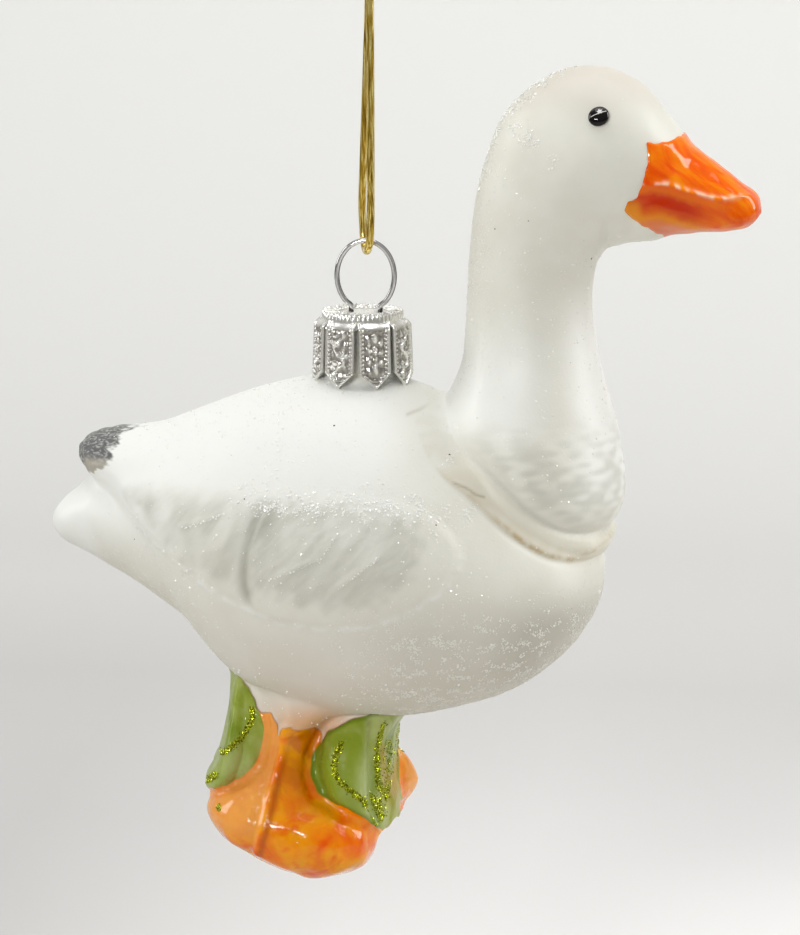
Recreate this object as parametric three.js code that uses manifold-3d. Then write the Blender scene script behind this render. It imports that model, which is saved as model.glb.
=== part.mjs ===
import * as THREE from "three";
import { mergeVertices } from "three/addons/utils/BufferGeometryUtils.js";
import Module from "manifold-3d";

// A mouth-blown glass tree ornament in the shape of a standing white goose.
// Millimetres. +X is the way the goose faces, +Z is up and y = 0 is its mid-plane.
// The origin is the underside of the wire ring's top, where the thread carries the ornament.

const wasm = await Module();
wasm.setup();

// ---- driving dimensions ----

const GAP = 0.3; // clearance between pieces that meet
const RELIEF = 0.7; // height of the moulded ribbon and wings over the body
const WIDE = 120; // longer than the goose is tall or broad, for prisms cut through it

// Cross-sections of the body, from the joined wing tips forward to the breast.
// low and high are its ends in the mid-plane as [x, z], half is its half width.
const BODY = [
  { low: [-39.2, -29.0], high: [-39.2, -28.2], half: 2.0 },
  { low: [-37.2, -31.8], high: [-37.6, -26.6], half: 5.2 },
  { low: [-33.4, -36.0], high: [-33.2, -25.6], half: 8.0 },
  { low: [-28.0, -44.8], high: [-28.0, -24.8], half: 12.2 },
  { low: [-22.6, -53.0], high: [-21.6, -22.4], half: 16.2 },
  { low: [-15.2, -60.4], high: [-14.0, -19.6], half: 19.6 },
  { low: [-6.0, -64.4], high: [-5.0, -17.8], half: 21.6 },
  { low: [4.0, -64.2], high: [4.0, -18.0], half: 22.0 },
  { low: [13.5, -62.4], high: [13.5, -21.8], half: 20.6 },
  { low: [21.8, -59.2], high: [21.8, -27.5], half: 17.6 },
  { low: [28.2, -53.8], high: [28.2, -35.0], half: 13.2 },
  { low: [31.6, -48.2], high: [32.0, -41.0], half: 6.8 },
  { low: [32.4, -45.0], high: [32.4, -44.2], half: 1.5 },
];

// The white tail below the wing tips, from its tip forward into the body.
const TAIL = [
  { low: [-43.2, -38.9], high: [-43.2, -38.3], half: 1.4 },
  { low: [-41.4, -41.2], high: [-40.8, -35.4], half: 4.4 },
  { low: [-37.2, -43.4], high: [-36.6, -32.0], half: 7.2 },
  { low: [-31.5, -46.4], high: [-30.5, -33.0], half: 9.6 },
  { low: [-24.5, -51.0], high: [-23.5, -37.0], half: 11.4 },
  { low: [-16.0, -54.0], high: [-16.0, -43.0], half: 9.0 },
  { low: [-13.0, -50.0], high: [-13.0, -47.0], half: 3.0 },
];

// Neck, head and bill as one: low is the throat side, high the nape and crown side.
const NECK = [
  { low: [19.0, -46.5], high: [14.0, -42.5], half: 3.0 },
  { low: [28.6, -46.5], high: [7.0, -33.0], half: 11.5 },
  { low: [33.2, -38.6], high: [8.6, -24.5], half: 14.3 },
  { low: [34.8, -31.4], high: [11.2, -19.8], half: 13.6 },
  { low: [34.1, -24.6], high: [13.0, -15.5], half: 11.4 },
  { low: [32.0, -17.6], high: [13.6, -11.5], half: 9.6 },
  { low: [30.5, -9.5], high: [13.9, -6.5], half: 8.5 },
  { low: [30.5, -4.8], high: [14.1, -1.0], half: 8.3 },
  { low: [31.2, -1.9], high: [14.6, 4.8], half: 8.7 },
  { low: [32.6, -0.8], high: [15.9, 11.0], half: 9.3 },
  { low: [34.2, -0.2], high: [19.0, 18.3], half: 9.9 },
  { low: [36.0, 0.2], high: [25.0, 23.0], half: 10.0 },
  { low: [37.6, 0.7], high: [31.0, 24.0], half: 9.7 },
  { low: [39.0, 1.0], high: [36.6, 21.8], half: 8.8 },
  { low: [40.8, 1.7], high: [40.6, 17.4], half: 7.6 },
  { low: [43.0, 2.0], high: [43.6, 13.6], half: 6.5 },
  { low: [45.6, 2.2], high: [46.6, 11.3], half: 5.9 },
  { low: [48.4, 2.4], high: [49.5, 9.0], half: 5.1 },
  { low: [50.9, 3.0], high: [51.9, 7.2], half: 3.6 },
  { low: [52.5, 4.9], high: [52.5, 5.5], half: 1.0 },
];

// Where the parts of the glass goose meet, drawn in the mid-plane as [x, z].
const RIBBON_LINE = [[8.2, -8.0], [9.2, -16.0], [9.7, -21.8], [12.6, -26.6], [17.4, -30.5],
  [22.4, -35.0], [27.4, -38.2], [32.4, -39.3], [40.0, -39.3]];
const RIBBON_ACROSS = [0.74, 0.67]; // the way the ribbon's width runs
const RIBBON_WIDTH = 3.4;
const HEAD_LINE = [[5.0, 3.6], [20.0, 1.6], [32.0, -1.6], [42.0, -6.0]];
const BILL_LINE = [[45.6, 18.5], [42.4, 15.2], [38.2, 13.6], [38.0, 10.8], [37.0, 8.2], [35.6, 6.4],
  [36.6, 4.2], [39.4, 1.4], [42.0, -4.0]];
const GAPE_LINE = [[30.0, 8.4], [40.6, 8.6], [43.6, 7.4], [46.6, 6.6], [49.6, 6.8], [60.0, 7.4]];
const TAIL_LINE = [[-33.0, -60.0], [-29.6, -44.0], [-30.4, -30.0], [-31.0, -20.0]];
const TIPS_LINE = [[-35.2, -50.0], [-34.6, -33.0], [-33.0, -24.0], [-32.6, -15.0]];

// The folded wing's outline seen from the side, closed, from the shoulder down and back.
const WING_OUTLINE = [[15.0, -38.4], [11.4, -43.8], [3.4, -47.4], [-6.6, -47.8], [-16.0, -45.0],
  [-24.0, -40.6], [-30.0, -36.2], [-32.2, -31.6], [-24.0, -28.4], [-12.0, -28.6], [2.0, -30.0],
  [11.4, -33.0]];
const WING_DEPTH = 2.0; // how far the wing's solid is let into the body
const WING_MIDDLE = [-9, -38]; // the outline is widened outward from here
const WING_INNER = 2; // no wing comes nearer to the mid-plane than this

const EYE = { x: 31.6, y: 8.3, z: 18.2, radius: 1.32, bulge: 0.7, tilt: 0.5 };

// Legs, feet and leaves hang below the body as upright bodies with level sections:
// back and front are the section's ends along X, half its half width.
const FOOT = [
  { z: -58.0, back: -13.2, front: -6.6, half: 3.4 },
  { z: -64.0, back: -13.2, front: -5.6, half: 3.8 },
  { z: -69.5, back: -13.8, front: -5.4, half: 4.6 },
  { z: -73.0, back: -18.6, front: -2.8, half: 6.8 },
  { z: -76.0, back: -20.6, front: 1.4, half: 8.6 },
  { z: -79.2, back: -18.8, front: 3.3, half: 9.0 },
  { z: -82.2, back: -14.2, front: 2.6, half: 7.8 },
  { z: -84.4, back: -9.2, front: -1.0, half: 4.2 },
  { z: -85.0, back: -7.0, front: -4.4, half: 1.0 },
];
const LEFT_TOE = { x: 2.0, y: 10.4, z: -76.7, length: 3.3, width: 5.4, height: 5.0 };
const FOOT_APART = 9.2; // each foot's centre from the mid-plane
const LEFT_FOOT_STEP = 0.8; // the left foot stands this far ahead of the right one
const ANKLE_Z = -70.6; // where leg and foot are told apart
const LEAF_BACK = [
  { z: -55.0, back: -16.6, front: -14.4, half: 5.0 },
  { z: -59.0, back: -17.8, front: -14.4, half: 9.6 },
  { z: -64.0, back: -18.5, front: -13.9, half: 11.8 },
  { z: -69.0, back: -19.6, front: -14.3, half: 13.2 },
  { z: -72.4, back: -21.4, front: -15.9, half: 13.0 },
  { z: -74.2, back: -21.4, front: -18.8, half: 9.4 },
];
const LEAF_FRONT = [
  { z: -60.0, back: -6.0, front: 4.0, half: 6.4 },
  { z: -62.6, back: -7.0, front: 5.6, half: 10.8 },
  { z: -66.0, back: -7.2, front: 5.2, half: 13.4 },
  { z: -70.0, back: -7.2, front: 4.8, half: 15.0 },
  { z: -74.0, back: -4.6, front: 4.5, half: 15.2 },
  { z: -77.2, back: 0.2, front: 4.6, half: 13.4 },
  { z: -79.4, back: 3.2, front: 5.0, half: 10.0 },
];

// The hollow stub that the glass was blown through, and the stamped metal cap on it.
const NECK_X = -0.4; // the stub and its cap stand this far behind the ring
const STUB = { radius: 5.0, top: -10.1, foot: -24.0 };
const CAP_RADIUS = 6.75; // across the prongs' feet
const CAP_PROFILE = [[0, -9.4], [4.95, -9.5], [5.75, -10.3], [6.3, -18.6], [CAP_RADIUS, -18.6],
  [6.2, -10.1], [5.3, -9.1], [0, -9.0]];
const CAP_CLEARANCE = [[5.6, -12.0], [5.6, -19.0], [7.3, -19.0], [7.3, -12.0], [5.6, -12.0]];
const PRONGS = 8;
const PRONG_SPLIT = { half: 0.33, top: -10.9, shoulder: -16.9, tip: -18.7, inner: 4, outer: 8 };
const CAP_DEPTH = 3; // longer than the cap's crown is thick, for the holes through it

// The spring-wire ring: a loop whose two legs go down through the cap.
const WIRE = 0.7;
const WIRE_STEPS = 32;
const LOOP = { across: 3.87, tall: 4.72, opens: -60, step: 15 }; // half sizes, and degrees
const LEGS = { spread: 1.95, through: -8.9, end: -9.8 };
const LEG_HOLE = WIRE / 2 + 0.25;

// Gold thread: from the knot down behind the ring, under its wire and up in front of it.
const THREAD = 1.05;
const THREAD_STEPS = 28;
const THREAD_ROUTE = [[0.35, 0.8, 40.0], [0.35, 0.85, 33.0], [0.1, 0.95, 25.0], [-0.2, 1.1, 17.0],
  [-0.5, 1.45, 10.0], [-0.7, 1.95, 5.0], [-0.65, 2.2, 2.4], [-0.5, 1.95, 0.4], [-0.2, 1.1, -0.7],
  [0.1, 0.0, -1.0], [0.45, -1.1, -0.7], [0.8, -1.95, 0.4], [0.95, -2.2, 2.4], [0.95, -1.95, 5.0],
  [0.9, -1.45, 10.0], [0.85, -1.1, 17.0], [0.8, -0.95, 25.0], [0.75, -0.85, 33.0],
  [0.75, -0.8, 40.0]];
const KNOT = { x: 0.55, z: 41.35, radius: 1.15, strand: 0.5 };

// Facets round each rounded body, and rings of them along it.
const FACETS = {
  body: { around: 22, rings: 20 },
  tail: { around: 14, rings: 12 },
  neck: { around: 18, rings: 28 },
  foot: { around: 14, rings: 13 },
  leaf: { around: 14, rings: 9 },
  eye: { around: 10, rings: 7 },
  toe: { around: 12, rings: 8 },
  knot: { along: 28, around: 6 },
  cap: 24,
  hole: 12,
  stub: 28,
  wire: 8,
  wingEdge: 24,
};

// ---- solids ----

// A closed geometry as a solid, its vertices merged by position alone.
function solidOf(geometry) {
  const bare = new THREE.BufferGeometry();
  bare.setAttribute("position", geometry.getAttribute("position"));
  bare.setIndex(geometry.index);
  const merged = mergeVertices(bare, 1e-4);
  return new wasm.Manifold(new wasm.Mesh({
    numProp: 3,
    vertProperties: merged.attributes.position.array,
    triVerts: new Uint32Array(merged.index.array),
  }));
}

function geometryOf(solid) {
  const mesh = solid.getMesh();
  const geometry = new THREE.BufferGeometry();
  geometry.setAttribute("position", new THREE.BufferAttribute(mesh.vertProperties, 3));
  geometry.setIndex(new THREE.BufferAttribute(mesh.triVerts, 1));
  geometry.computeVertexNormals();
  return geometry;
}

// A ball pulled into a body: place(t, turn) gives the point at t, 0 to 1 from end to end,
// and at the angle turn round it. At t = 0 and t = 1 every angle is the same point.
function body(around, along, place) {
  const geometry = new THREE.SphereGeometry(1, around, along);
  const position = geometry.getAttribute("position");
  const uv = geometry.getAttribute("uv");
  for (let i = 0; i < position.count; i++) {
    const point = place(1 - uv.getY(i), uv.getX(i) * 2 * Math.PI);
    position.setXYZ(i, point.x, point.y, point.z);
  }
  return solidOf(geometry);
}

// A body through cross-sections that stand across the mid-plane. sag lowers the widest
// place towards low, and grow thickens every section by that much all round.
function sections(rows, { around, rings, sag = 0, grow = 0 }) {
  const lowLine = new THREE.CatmullRomCurve3(
    rows.map((row) => new THREE.Vector3(row.low[0], row.half, row.low[1])), false, "centripetal");
  const highLine = new THREE.CatmullRomCurve3(
    rows.map((row) => new THREE.Vector3(row.high[0], row.half, row.high[1])), false, "centripetal");
  return body(around, rings, (t, turn) => {
    const low = lowLine.getPoint(t);
    const high = highLine.getPoint(t);
    const half = low.y;
    low.y = 0;
    high.y = 0;
    const centre = low.clone().add(high).multiplyScalar(0.5);
    if (t < 1e-6 || t > 1 - 1e-6) return centre;
    const up = high.sub(centre);
    const height = up.length();
    const rise = Math.cos(turn) * (height + grow) - sag * Math.sin(turn) ** 2 * height;
    const point = centre.addScaledVector(up, rise / height);
    point.y = Math.sin(turn) * (half + grow);
    return point;
  });
}

// An upright body of level sections, moved by centre and forward.
function column(rows, { around, rings, centre = 0, forward = 0, grow = 0 }) {
  const line = new THREE.CatmullRomCurve3(
    rows.map((row) => new THREE.Vector3(row.back, row.half, row.z)), false, "centripetal");
  const front = new THREE.CatmullRomCurve3(
    rows.map((row) => new THREE.Vector3(row.front, row.half, row.z)), false, "centripetal");
  return body(around, rings, (t, turn) => {
    const a = line.getPoint(t);
    const b = front.getPoint(t);
    const end = t < 1e-6 || t > 1 - 1e-6;
    const reach = end ? 0 : (b.x - a.x) / 2 + grow;
    const half = end ? 0 : a.y + grow;
    const lift = t < 0.5 ? grow : -grow;
    return new THREE.Vector3(
      (a.x + b.x) / 2 + forward + Math.cos(turn) * reach,
      centre + Math.sin(turn) * half,
      a.z + (end ? lift : 0));
  });
}

// A prism across the goose whose outline is drawn in the mid-plane.
function prism(points, { from = -WIDE / 2, to = WIDE / 2 } = {}) {
  const shape = new THREE.Shape(points.map(([x, z]) => new THREE.Vector2(x, z)));
  const geometry = new THREE.ExtrudeGeometry(shape, { depth: to - from, bevelEnabled: false });
  geometry.rotateX(Math.PI / 2);
  geometry.translate(0, to, 0);
  return solidOf(geometry);
}

// Everything on one side of a line across the goose. The line is moved by shift, and from
// its end and its start the region runs far out, each in its own direction.
function beyond(line, [fromEnd, fromStart], shift = [0, 0]) {
  const moved = line.map(([x, z]) => new THREE.Vector2(x + shift[0], z + shift[1]));
  const edge = new THREE.SplineCurve(moved).getPoints(2 * (line.length - 1));
  const far = (point, [x, z]) => [point.x + x * WIDE, point.y + z * WIDE];
  return prism([
    ...edge.map((point) => [point.x, point.y]),
    far(moved[moved.length - 1], fromEnd),
    far(moved[0], fromStart),
  ]);
}

const FORWARD = [1, 0];
const BACKWARD = [-1, 0];
const UPWARD = [0, 1];
const aboveRibbon = (by) =>
  beyond(RIBBON_LINE, [FORWARD, UPWARD], [RIBBON_ACROSS[0] * by, RIBBON_ACROSS[1] * by]);
const aboveHead = (by) => beyond(HEAD_LINE, [FORWARD, UPWARD], [0, by]);
const billSide = (by) => beyond(BILL_LINE, [FORWARD, FORWARD], [by, 0]);
const aboveGape = (by) => beyond(GAPE_LINE, [UPWARD, UPWARD], [0, by]);
const tailSide = (by) => beyond(TAIL_LINE, [BACKWARD, BACKWARD], [-by, 0]);
const tipsSide = (by) => beyond(TIPS_LINE, [BACKWARD, BACKWARD], [-by, 0]);
const above = (z) => beyond([[-WIDE, z], [WIDE, z]], [UPWARD, UPWARD]);

const bodyLoft = (grow) => sections(BODY, { ...FACETS.body, sag: 0.12, grow });
const tailLoft = (grow) => sections(TAIL, { ...FACETS.tail, grow });
const neckLoft = (grow) => sections(NECK, { ...FACETS.neck, sag: 0.06, grow });

// The part of a prism on one side of the goose, from inner away from the mid-plane.
const onSide = (side, points, inner) =>
  prism(points, side < 0 ? { to: -inner } : { from: inner });

function wingPrism(side, grow) {
  const curve = new THREE.CatmullRomCurve3(
    WING_OUTLINE.map(([x, z]) => new THREE.Vector3(x, z, 0)), true, "centripetal");
  const middle = new THREE.Vector3(...WING_MIDDLE, 0);
  const points = curve.getPoints(FACETS.wingEdge).slice(0, -1).map((point) => {
    const out = point.clone().sub(middle).normalize().multiplyScalar(grow);
    return [point.x + out.x, point.y + out.y];
  });
  return onSide(side, points, WING_INNER);
}

function glassGoose() {
  const tail = tailLoft(0);
  const wholeBody = bodyLoft(0);
  const tips = wholeBody.intersect(tipsSide(GAP / 2)).subtract(tailLoft(GAP));
  const core = wholeBody
    .subtract(tipsSide(-GAP / 2))
    .subtract(tailLoft(GAP).intersect(tailSide(-GAP / 2)))
    .add(tail.subtract(tailSide(-GAP / 2)));
  const goose = core.add(neckLoft(0));
  const ribbonHalf = RIBBON_WIDTH / 2;

  let trunk = goose.subtract(aboveRibbon(-ribbonHalf - GAP));
  const ribbon = bodyLoft(RELIEF)
    .add(neckLoft(RELIEF))
    .intersect(aboveRibbon(-ribbonHalf))
    .subtract(aboveRibbon(ribbonHalf));
  const upper = goose.intersect(aboveRibbon(ribbonHalf + GAP));
  const neck = upper.subtract(aboveHead(-GAP / 2));
  const wholeHead = upper.intersect(aboveHead(GAP / 2));
  const bill = wholeHead.intersect(billSide(GAP / 2));
  let head = wholeHead.subtract(billSide(-GAP / 2));

  const nodes = {};
  for (const side of [-1, 1]) {
    const word = side < 0 ? "right" : "left";
    nodes["wing_" + word] = bodyLoft(RELIEF)
      .subtract(bodyLoft(-WING_DEPTH))
      .intersect(wingPrism(side, 0))
      .subtract(tailLoft(GAP));
    trunk = trunk.subtract(wingPrism(side, GAP).subtract(bodyLoft(-WING_DEPTH - GAP)));
    nodes["eye_" + word] = eyeBall(side, 0);
    head = head.subtract(eyeBall(side, GAP));
  }
  nodes.tail = tail.intersect(tailSide(GAP / 2));
  nodes.wing_tips = tips;
  nodes.neck_ribbon = ribbon;
  nodes.neck = neck;
  nodes.head = head;
  nodes.bill_upper = bill.intersect(aboveGape(GAP / 2));
  nodes.bill_lower = bill.subtract(aboveGape(-GAP / 2));
  nodes.trunk = trunk.subtract(solidOf(lathe(CAP_CLEARANCE).translate(NECK_X, 0, 0)));
  return nodes;
}

function eyeBall(side, grow) {
  const radius = EYE.radius + grow;
  const geometry = new THREE.SphereGeometry(radius, FACETS.eye.around, FACETS.eye.rings);
  geometry.scale(1, (EYE.bulge + grow) / radius, 1);
  geometry.rotateX(side * EYE.tilt);
  geometry.translate(EYE.x, side * EYE.y, EYE.z);
  return solidOf(geometry);
}

// Legs, webbed feet and the leaves round them, all below the belly.
function stand(trunkSpace) {
  const leafShapes = { leaf_back: LEAF_BACK, leaf_front: LEAF_FRONT };
  const leafSpace = Object.values(leafShapes)
    .map((rows) => column(rows, { ...FACETS.leaf, grow: GAP }))
    .reduce((all, next) => all.add(next));
  const everywhere = [[-WIDE, -WIDE], [WIDE, -WIDE], [WIDE, WIDE], [-WIDE, WIDE]];

  const nodes = {};
  for (const [name, rows] of Object.entries(leafShapes))
    nodes[name] = column(rows, FACETS.leaf).subtract(trunkSpace);
  for (const side of [-1, 1]) {
    const word = side < 0 ? "right" : "left";
    const forward = side > 0 ? LEFT_FOOT_STEP : 0;
    let foot = column(FOOT, { ...FACETS.foot, centre: side * FOOT_APART, forward });
    if (side > 0) foot = foot.add(toe());
    foot = foot
      .intersect(onSide(side, everywhere, GAP / 2))
      .subtract(leafSpace)
      .subtract(trunkSpace);
    nodes["leg_" + word] = foot.intersect(above(ANKLE_Z + GAP / 2));
    nodes["foot_" + word] = foot.subtract(above(ANKLE_Z - GAP / 2));
  }
  return nodes;
}

function toe() {
  const { x, y, z, length, width, height } = LEFT_TOE;
  const geometry = new THREE.SphereGeometry(1, FACETS.toe.around, FACETS.toe.rings);
  return solidOf(geometry.scale(length, width, height).translate(x, y, z));
}

function lathe(profile) {
  const geometry = new THREE.LatheGeometry(
    profile.map(([radius, z]) => new THREE.Vector2(radius, z)), FACETS.cap);
  return geometry.rotateX(Math.PI / 2);
}

// A stamped cap: a flat crown with eight pointed prongs, and a hole for each leg of the ring.
function crownCap() {
  let cap = solidOf(lathe(CAP_PROFILE));
  const pitch = (2 * Math.PI) / PRONGS;
  const edge = CAP_RADIUS * Math.sin(pitch / 2);
  const { half, top, shoulder, tip, inner, outer } = PRONG_SPLIT;
  const slot = new THREE.Shape([[-half, top], [half, top], [half, shoulder], [edge, tip],
    [-edge, tip], [-half, shoulder]].map(([x, z]) => new THREE.Vector2(x, z)));
  for (let i = 0; i < PRONGS; i++) {
    const depth = outer - inner;
    const cutter = new THREE.ExtrudeGeometry(slot, { depth, bevelEnabled: false });
    cutter.rotateX(Math.PI / 2).translate(0, -inner, 0).rotateZ(i * pitch);
    cap = cap.subtract(solidOf(cutter));
  }
  for (const side of [-1, 1]) {
    const hole = new THREE.CylinderGeometry(LEG_HOLE, LEG_HOLE, CAP_DEPTH, FACETS.hole);
    hole.rotateX(Math.PI / 2).translate(side * LEGS.spread - NECK_X, 0, LEGS.through);
    cap = cap.subtract(solidOf(hole));
  }
  return cap.translate(NECK_X, 0, 0);
}

// A round bar of that diameter along points of a smooth line.
function bar(points, diameter, steps) {
  const path = new THREE.CatmullRomCurve3(points.map((p) => new THREE.Vector3(...p)));
  const round = new THREE.Shape(
    new THREE.EllipseCurve(0, 0, diameter / 2, diameter / 2).getPoints(FACETS.wire).slice(0, -1));
  return solidOf(new THREE.ExtrudeGeometry(round, { steps, extrudePath: path, bevelEnabled: false }));
}

function ringWire() {
  const centreZ = WIRE / 2 - LOOP.tall;
  const right = [[LEGS.spread, 0, LEGS.end], [LEGS.spread, 0, LEGS.through]];
  const arc = [];
  for (let degrees = LOOP.opens; degrees <= 180 - LOOP.opens; degrees += LOOP.step) {
    const turn = THREE.MathUtils.degToRad(degrees);
    arc.push([LOOP.across * Math.cos(turn), 0, centreZ + LOOP.tall * Math.sin(turn)]);
  }
  const left = right.map(([x, y, z]) => [-x, y, z]).reverse();
  return bar([...right, ...arc, ...left], WIRE, WIRE_STEPS);
}

// ---- the ornament ----

const FINISH = {
  glass: { color: 0xf2f0e8, roughness: 0.45, metalness: 0 },
  ribbon: { color: 0xded6c4, roughness: 0.5, metalness: 0 },
  grey: { color: 0x6f6e6a, roughness: 0.7, metalness: 0 },
  bill: { color: 0xf06a05, roughness: 0.12, metalness: 0 },
  feet: { color: 0xe8860c, roughness: 0.12, metalness: 0 },
  leaf: { color: 0x8a9a3a, roughness: 0.15, metalness: 0 },
  eye: { color: 0x0a0a0a, roughness: 0.1, metalness: 0 },
  silver: { color: 0xc8c8ca, roughness: 0.22, metalness: 1 },
  gold: { color: 0xc9a227, roughness: 0.25, metalness: 1 },
};

const finishOf = {
  neck_ribbon: "ribbon",
  wing_tips: "grey",
  bill_upper: "bill",
  bill_lower: "bill",
  eye_right: "eye",
  eye_left: "eye",
  leg_right: "feet",
  leg_left: "feet",
  foot_right: "feet",
  foot_left: "feet",
  leaf_back: "leaf",
  leaf_front: "leaf",
  cap: "silver",
  hanger_ring: "silver",
  thread: "gold",
  thread_knot: "gold",
};

const gooseNodes = glassGoose();
const gooseSpace = bodyLoft(GAP).add(neckLoft(GAP)).add(tailLoft(GAP));
const tube = new THREE.CylinderGeometry(
  STUB.radius, STUB.radius, STUB.top - STUB.foot, FACETS.stub);
const stub = solidOf(tube.rotateX(Math.PI / 2).translate(NECK_X, 0, (STUB.top + STUB.foot) / 2));
const knot = new THREE.TorusKnotGeometry(
  KNOT.radius, KNOT.strand, FACETS.knot.along, FACETS.knot.around, 2, 3);

const ornament = {
  ...gooseNodes,
  ...stand(gooseSpace),
  glass_stub: stub.subtract(gooseSpace),
  cap: crownCap(),
  hanger_ring: ringWire(),
  thread: bar(THREAD_ROUTE, THREAD, THREAD_STEPS),
  thread_knot: solidOf(knot.translate(KNOT.x, 0, KNOT.z)),
};

const root = new THREE.Group();
for (const [name, solid] of Object.entries(ornament)) {
  const material = new THREE.MeshStandardMaterial(FINISH[finishOf[name] ?? "glass"]);
  const mesh = new THREE.Mesh(geometryOf(solid), material);
  mesh.name = name;
  root.add(mesh);
}

export default root;
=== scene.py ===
import math

import bpy
import numpy as np
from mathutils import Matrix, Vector
from mathutils.bvhtree import BVHTree


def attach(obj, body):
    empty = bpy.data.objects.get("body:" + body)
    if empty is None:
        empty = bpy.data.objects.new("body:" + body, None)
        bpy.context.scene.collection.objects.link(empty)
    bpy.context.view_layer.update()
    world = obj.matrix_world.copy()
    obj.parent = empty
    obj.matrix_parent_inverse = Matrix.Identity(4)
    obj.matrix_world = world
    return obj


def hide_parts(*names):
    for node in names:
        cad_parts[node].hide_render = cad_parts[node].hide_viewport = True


# The looks of a mouth-blown glass goose ornament. The scene is in metres. Shapes are worked
# out in millimetres and scaled by MM when their meshes are made.
# +X is the way the goose faces, +Z is up and y = 0 is its mid-plane.
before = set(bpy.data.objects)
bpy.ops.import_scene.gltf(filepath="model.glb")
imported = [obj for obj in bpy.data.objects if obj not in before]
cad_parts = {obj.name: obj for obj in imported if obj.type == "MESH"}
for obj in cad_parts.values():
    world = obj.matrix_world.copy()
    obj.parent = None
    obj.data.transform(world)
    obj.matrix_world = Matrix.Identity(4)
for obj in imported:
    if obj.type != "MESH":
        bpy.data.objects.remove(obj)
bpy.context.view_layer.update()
MM = 0.001
SIDES = {-1: "right", 1: "left"}  # of the goose, by the sign of y


# ---- small helpers for shapes ----

def catmull(points, t, closed=False):
    """Centripetal Catmull-Rom line through the points, at each t from 0 to 1."""
    p = np.asarray(points, float)
    t = np.atleast_1d(np.asarray(t, float))
    n = len(p)
    if closed:
        place = t * n
        i = np.floor(place).astype(int)
        q = [p[(i + k - 1) % n] for k in range(4)]
    else:
        ends = np.vstack([2 * p[0] - p[1], p, 2 * p[-1] - p[-2]])
        place = t * (n - 1)
        i = np.minimum(np.floor(place).astype(int), n - 2)
        q = [ends[i + k] for k in range(4)]
    w = (place - i)[:, None]
    step = [np.sqrt(np.linalg.norm(q[k + 1] - q[k], axis=1))[:, None] for k in range(3)]
    step[1] = np.where(step[1] < 1e-4, 1, step[1])
    step[0] = np.where(step[0] < 1e-4, step[1], step[0])
    step[2] = np.where(step[2] < 1e-4, step[1], step[2])
    d0, d1, d2 = step
    t1 = d1 * ((q[1] - q[0]) / d0 - (q[2] - q[0]) / (d0 + d1) + (q[2] - q[1]) / d1)
    t2 = d1 * ((q[2] - q[1]) / d1 - (q[3] - q[1]) / (d1 + d2) + (q[3] - q[2]) / d2)
    return (q[1] + t1 * w + (-3 * q[1] + 3 * q[2] - 2 * t1 - t2) * w ** 2
            + (2 * q[1] - 2 * q[2] + t1 + t2) * w ** 3)


def ramp(value, start, end):
    """0 up to start, 1 from end on, and smooth between; start may be the higher of the two."""
    w = np.clip((value - start) / (end - start), 0, 1)
    return w * w * (3 - 2 * w)


def bump(value, width):
    """1 where value is 0, falling softly to either side within about that width."""
    return np.exp(-(value / width) ** 2)


def waves(points, size, seed, stretch=(1, 1, 1), count=24):
    """A smooth random field, mostly between -1 and 1, whose lumps are about that size."""
    random = np.random.default_rng(seed)
    way = random.normal(size=(count, 3))
    way /= np.linalg.norm(way, axis=1)[:, None]
    turns = way * random.uniform(0.6, 1.4, (count, 1)) * 2 * math.pi / size
    phase = random.uniform(0, 2 * math.pi, count)
    return np.cos(points / np.array(stretch) @ turns.T + phase).sum(1) / math.sqrt(2 * count)


def from_line(x, z, line):
    """For points in the side view: how far they are from the line, positive on its left,
    and how far along it they lie, 0 to 1."""
    line = np.asarray(line, float)
    lengths = np.linalg.norm(np.diff(line, axis=0), axis=1)
    start = np.concatenate([[0], np.cumsum(lengths)])
    near = np.full(x.shape, np.inf)
    side = np.ones(x.shape)
    along = np.zeros(x.shape)
    for i, (a, b) in enumerate(zip(line[:-1], line[1:])):
        d = b - a
        w = np.clip(((x - a[0]) * d[0] + (z - a[1]) * d[1]) / (d @ d), 0, 1)
        dx, dz = x - a[0] - w * d[0], z - a[1] - w * d[1]
        far = np.hypot(dx, dz)
        beside = (d[0] * (z - a[1]) - d[1] * (x - a[0])) / lengths[i]
        tie = (np.abs(far - near) < 1e-9) & (np.abs(beside) > np.abs(side))
        better = (far < near - 1e-9) | tie
        near = np.where(better, far, near)
        side = np.where(better, beside, side)
        along = np.where(better, (start[i] + w * lengths[i]) / start[-1], along)
    return np.where(side < 0, -near, near), along


def in_outline(x, z, outline):
    """For points in the side view: how far inside the closed outline they are."""
    ring = np.vstack([outline, outline[:1]])
    far = np.abs(from_line(x, z, ring)[0])
    inside = np.zeros(x.shape, bool)
    for a, b in zip(ring[:-1], ring[1:]):
        if a[1] == b[1]:
            continue
        crosses = (a[1] > z) != (b[1] > z)
        inside ^= crosses & (x < a[0] + (z - a[1]) * (b[0] - a[0]) / (b[1] - a[1]))
    return np.where(inside, far, -far)


def smooth_line(points, count, closed=False):
    """A smooth line of count points through the points."""
    return catmull(points, np.linspace(0, 1, count, endpoint=not closed), closed)


def ball_faces(around, rings):
    """Faces of a ball whose vertices are a pole, rings - 1 rings, and the other pole."""
    ring = np.arange(around)
    after = (ring + 1) % around
    last = 1 + (rings - 2) * around
    faces = [(0, 1 + a, 1 + b) for a, b in zip(ring, after)]
    for k in range(rings - 2):
        low, high = 1 + k * around, 1 + (k + 1) * around
        faces += [(low + a, high + a, high + b, low + b) for a, b in zip(ring, after)]
    faces += [(last + a, last + around, last + b) for a, b in zip(ring, after)]
    return faces


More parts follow.
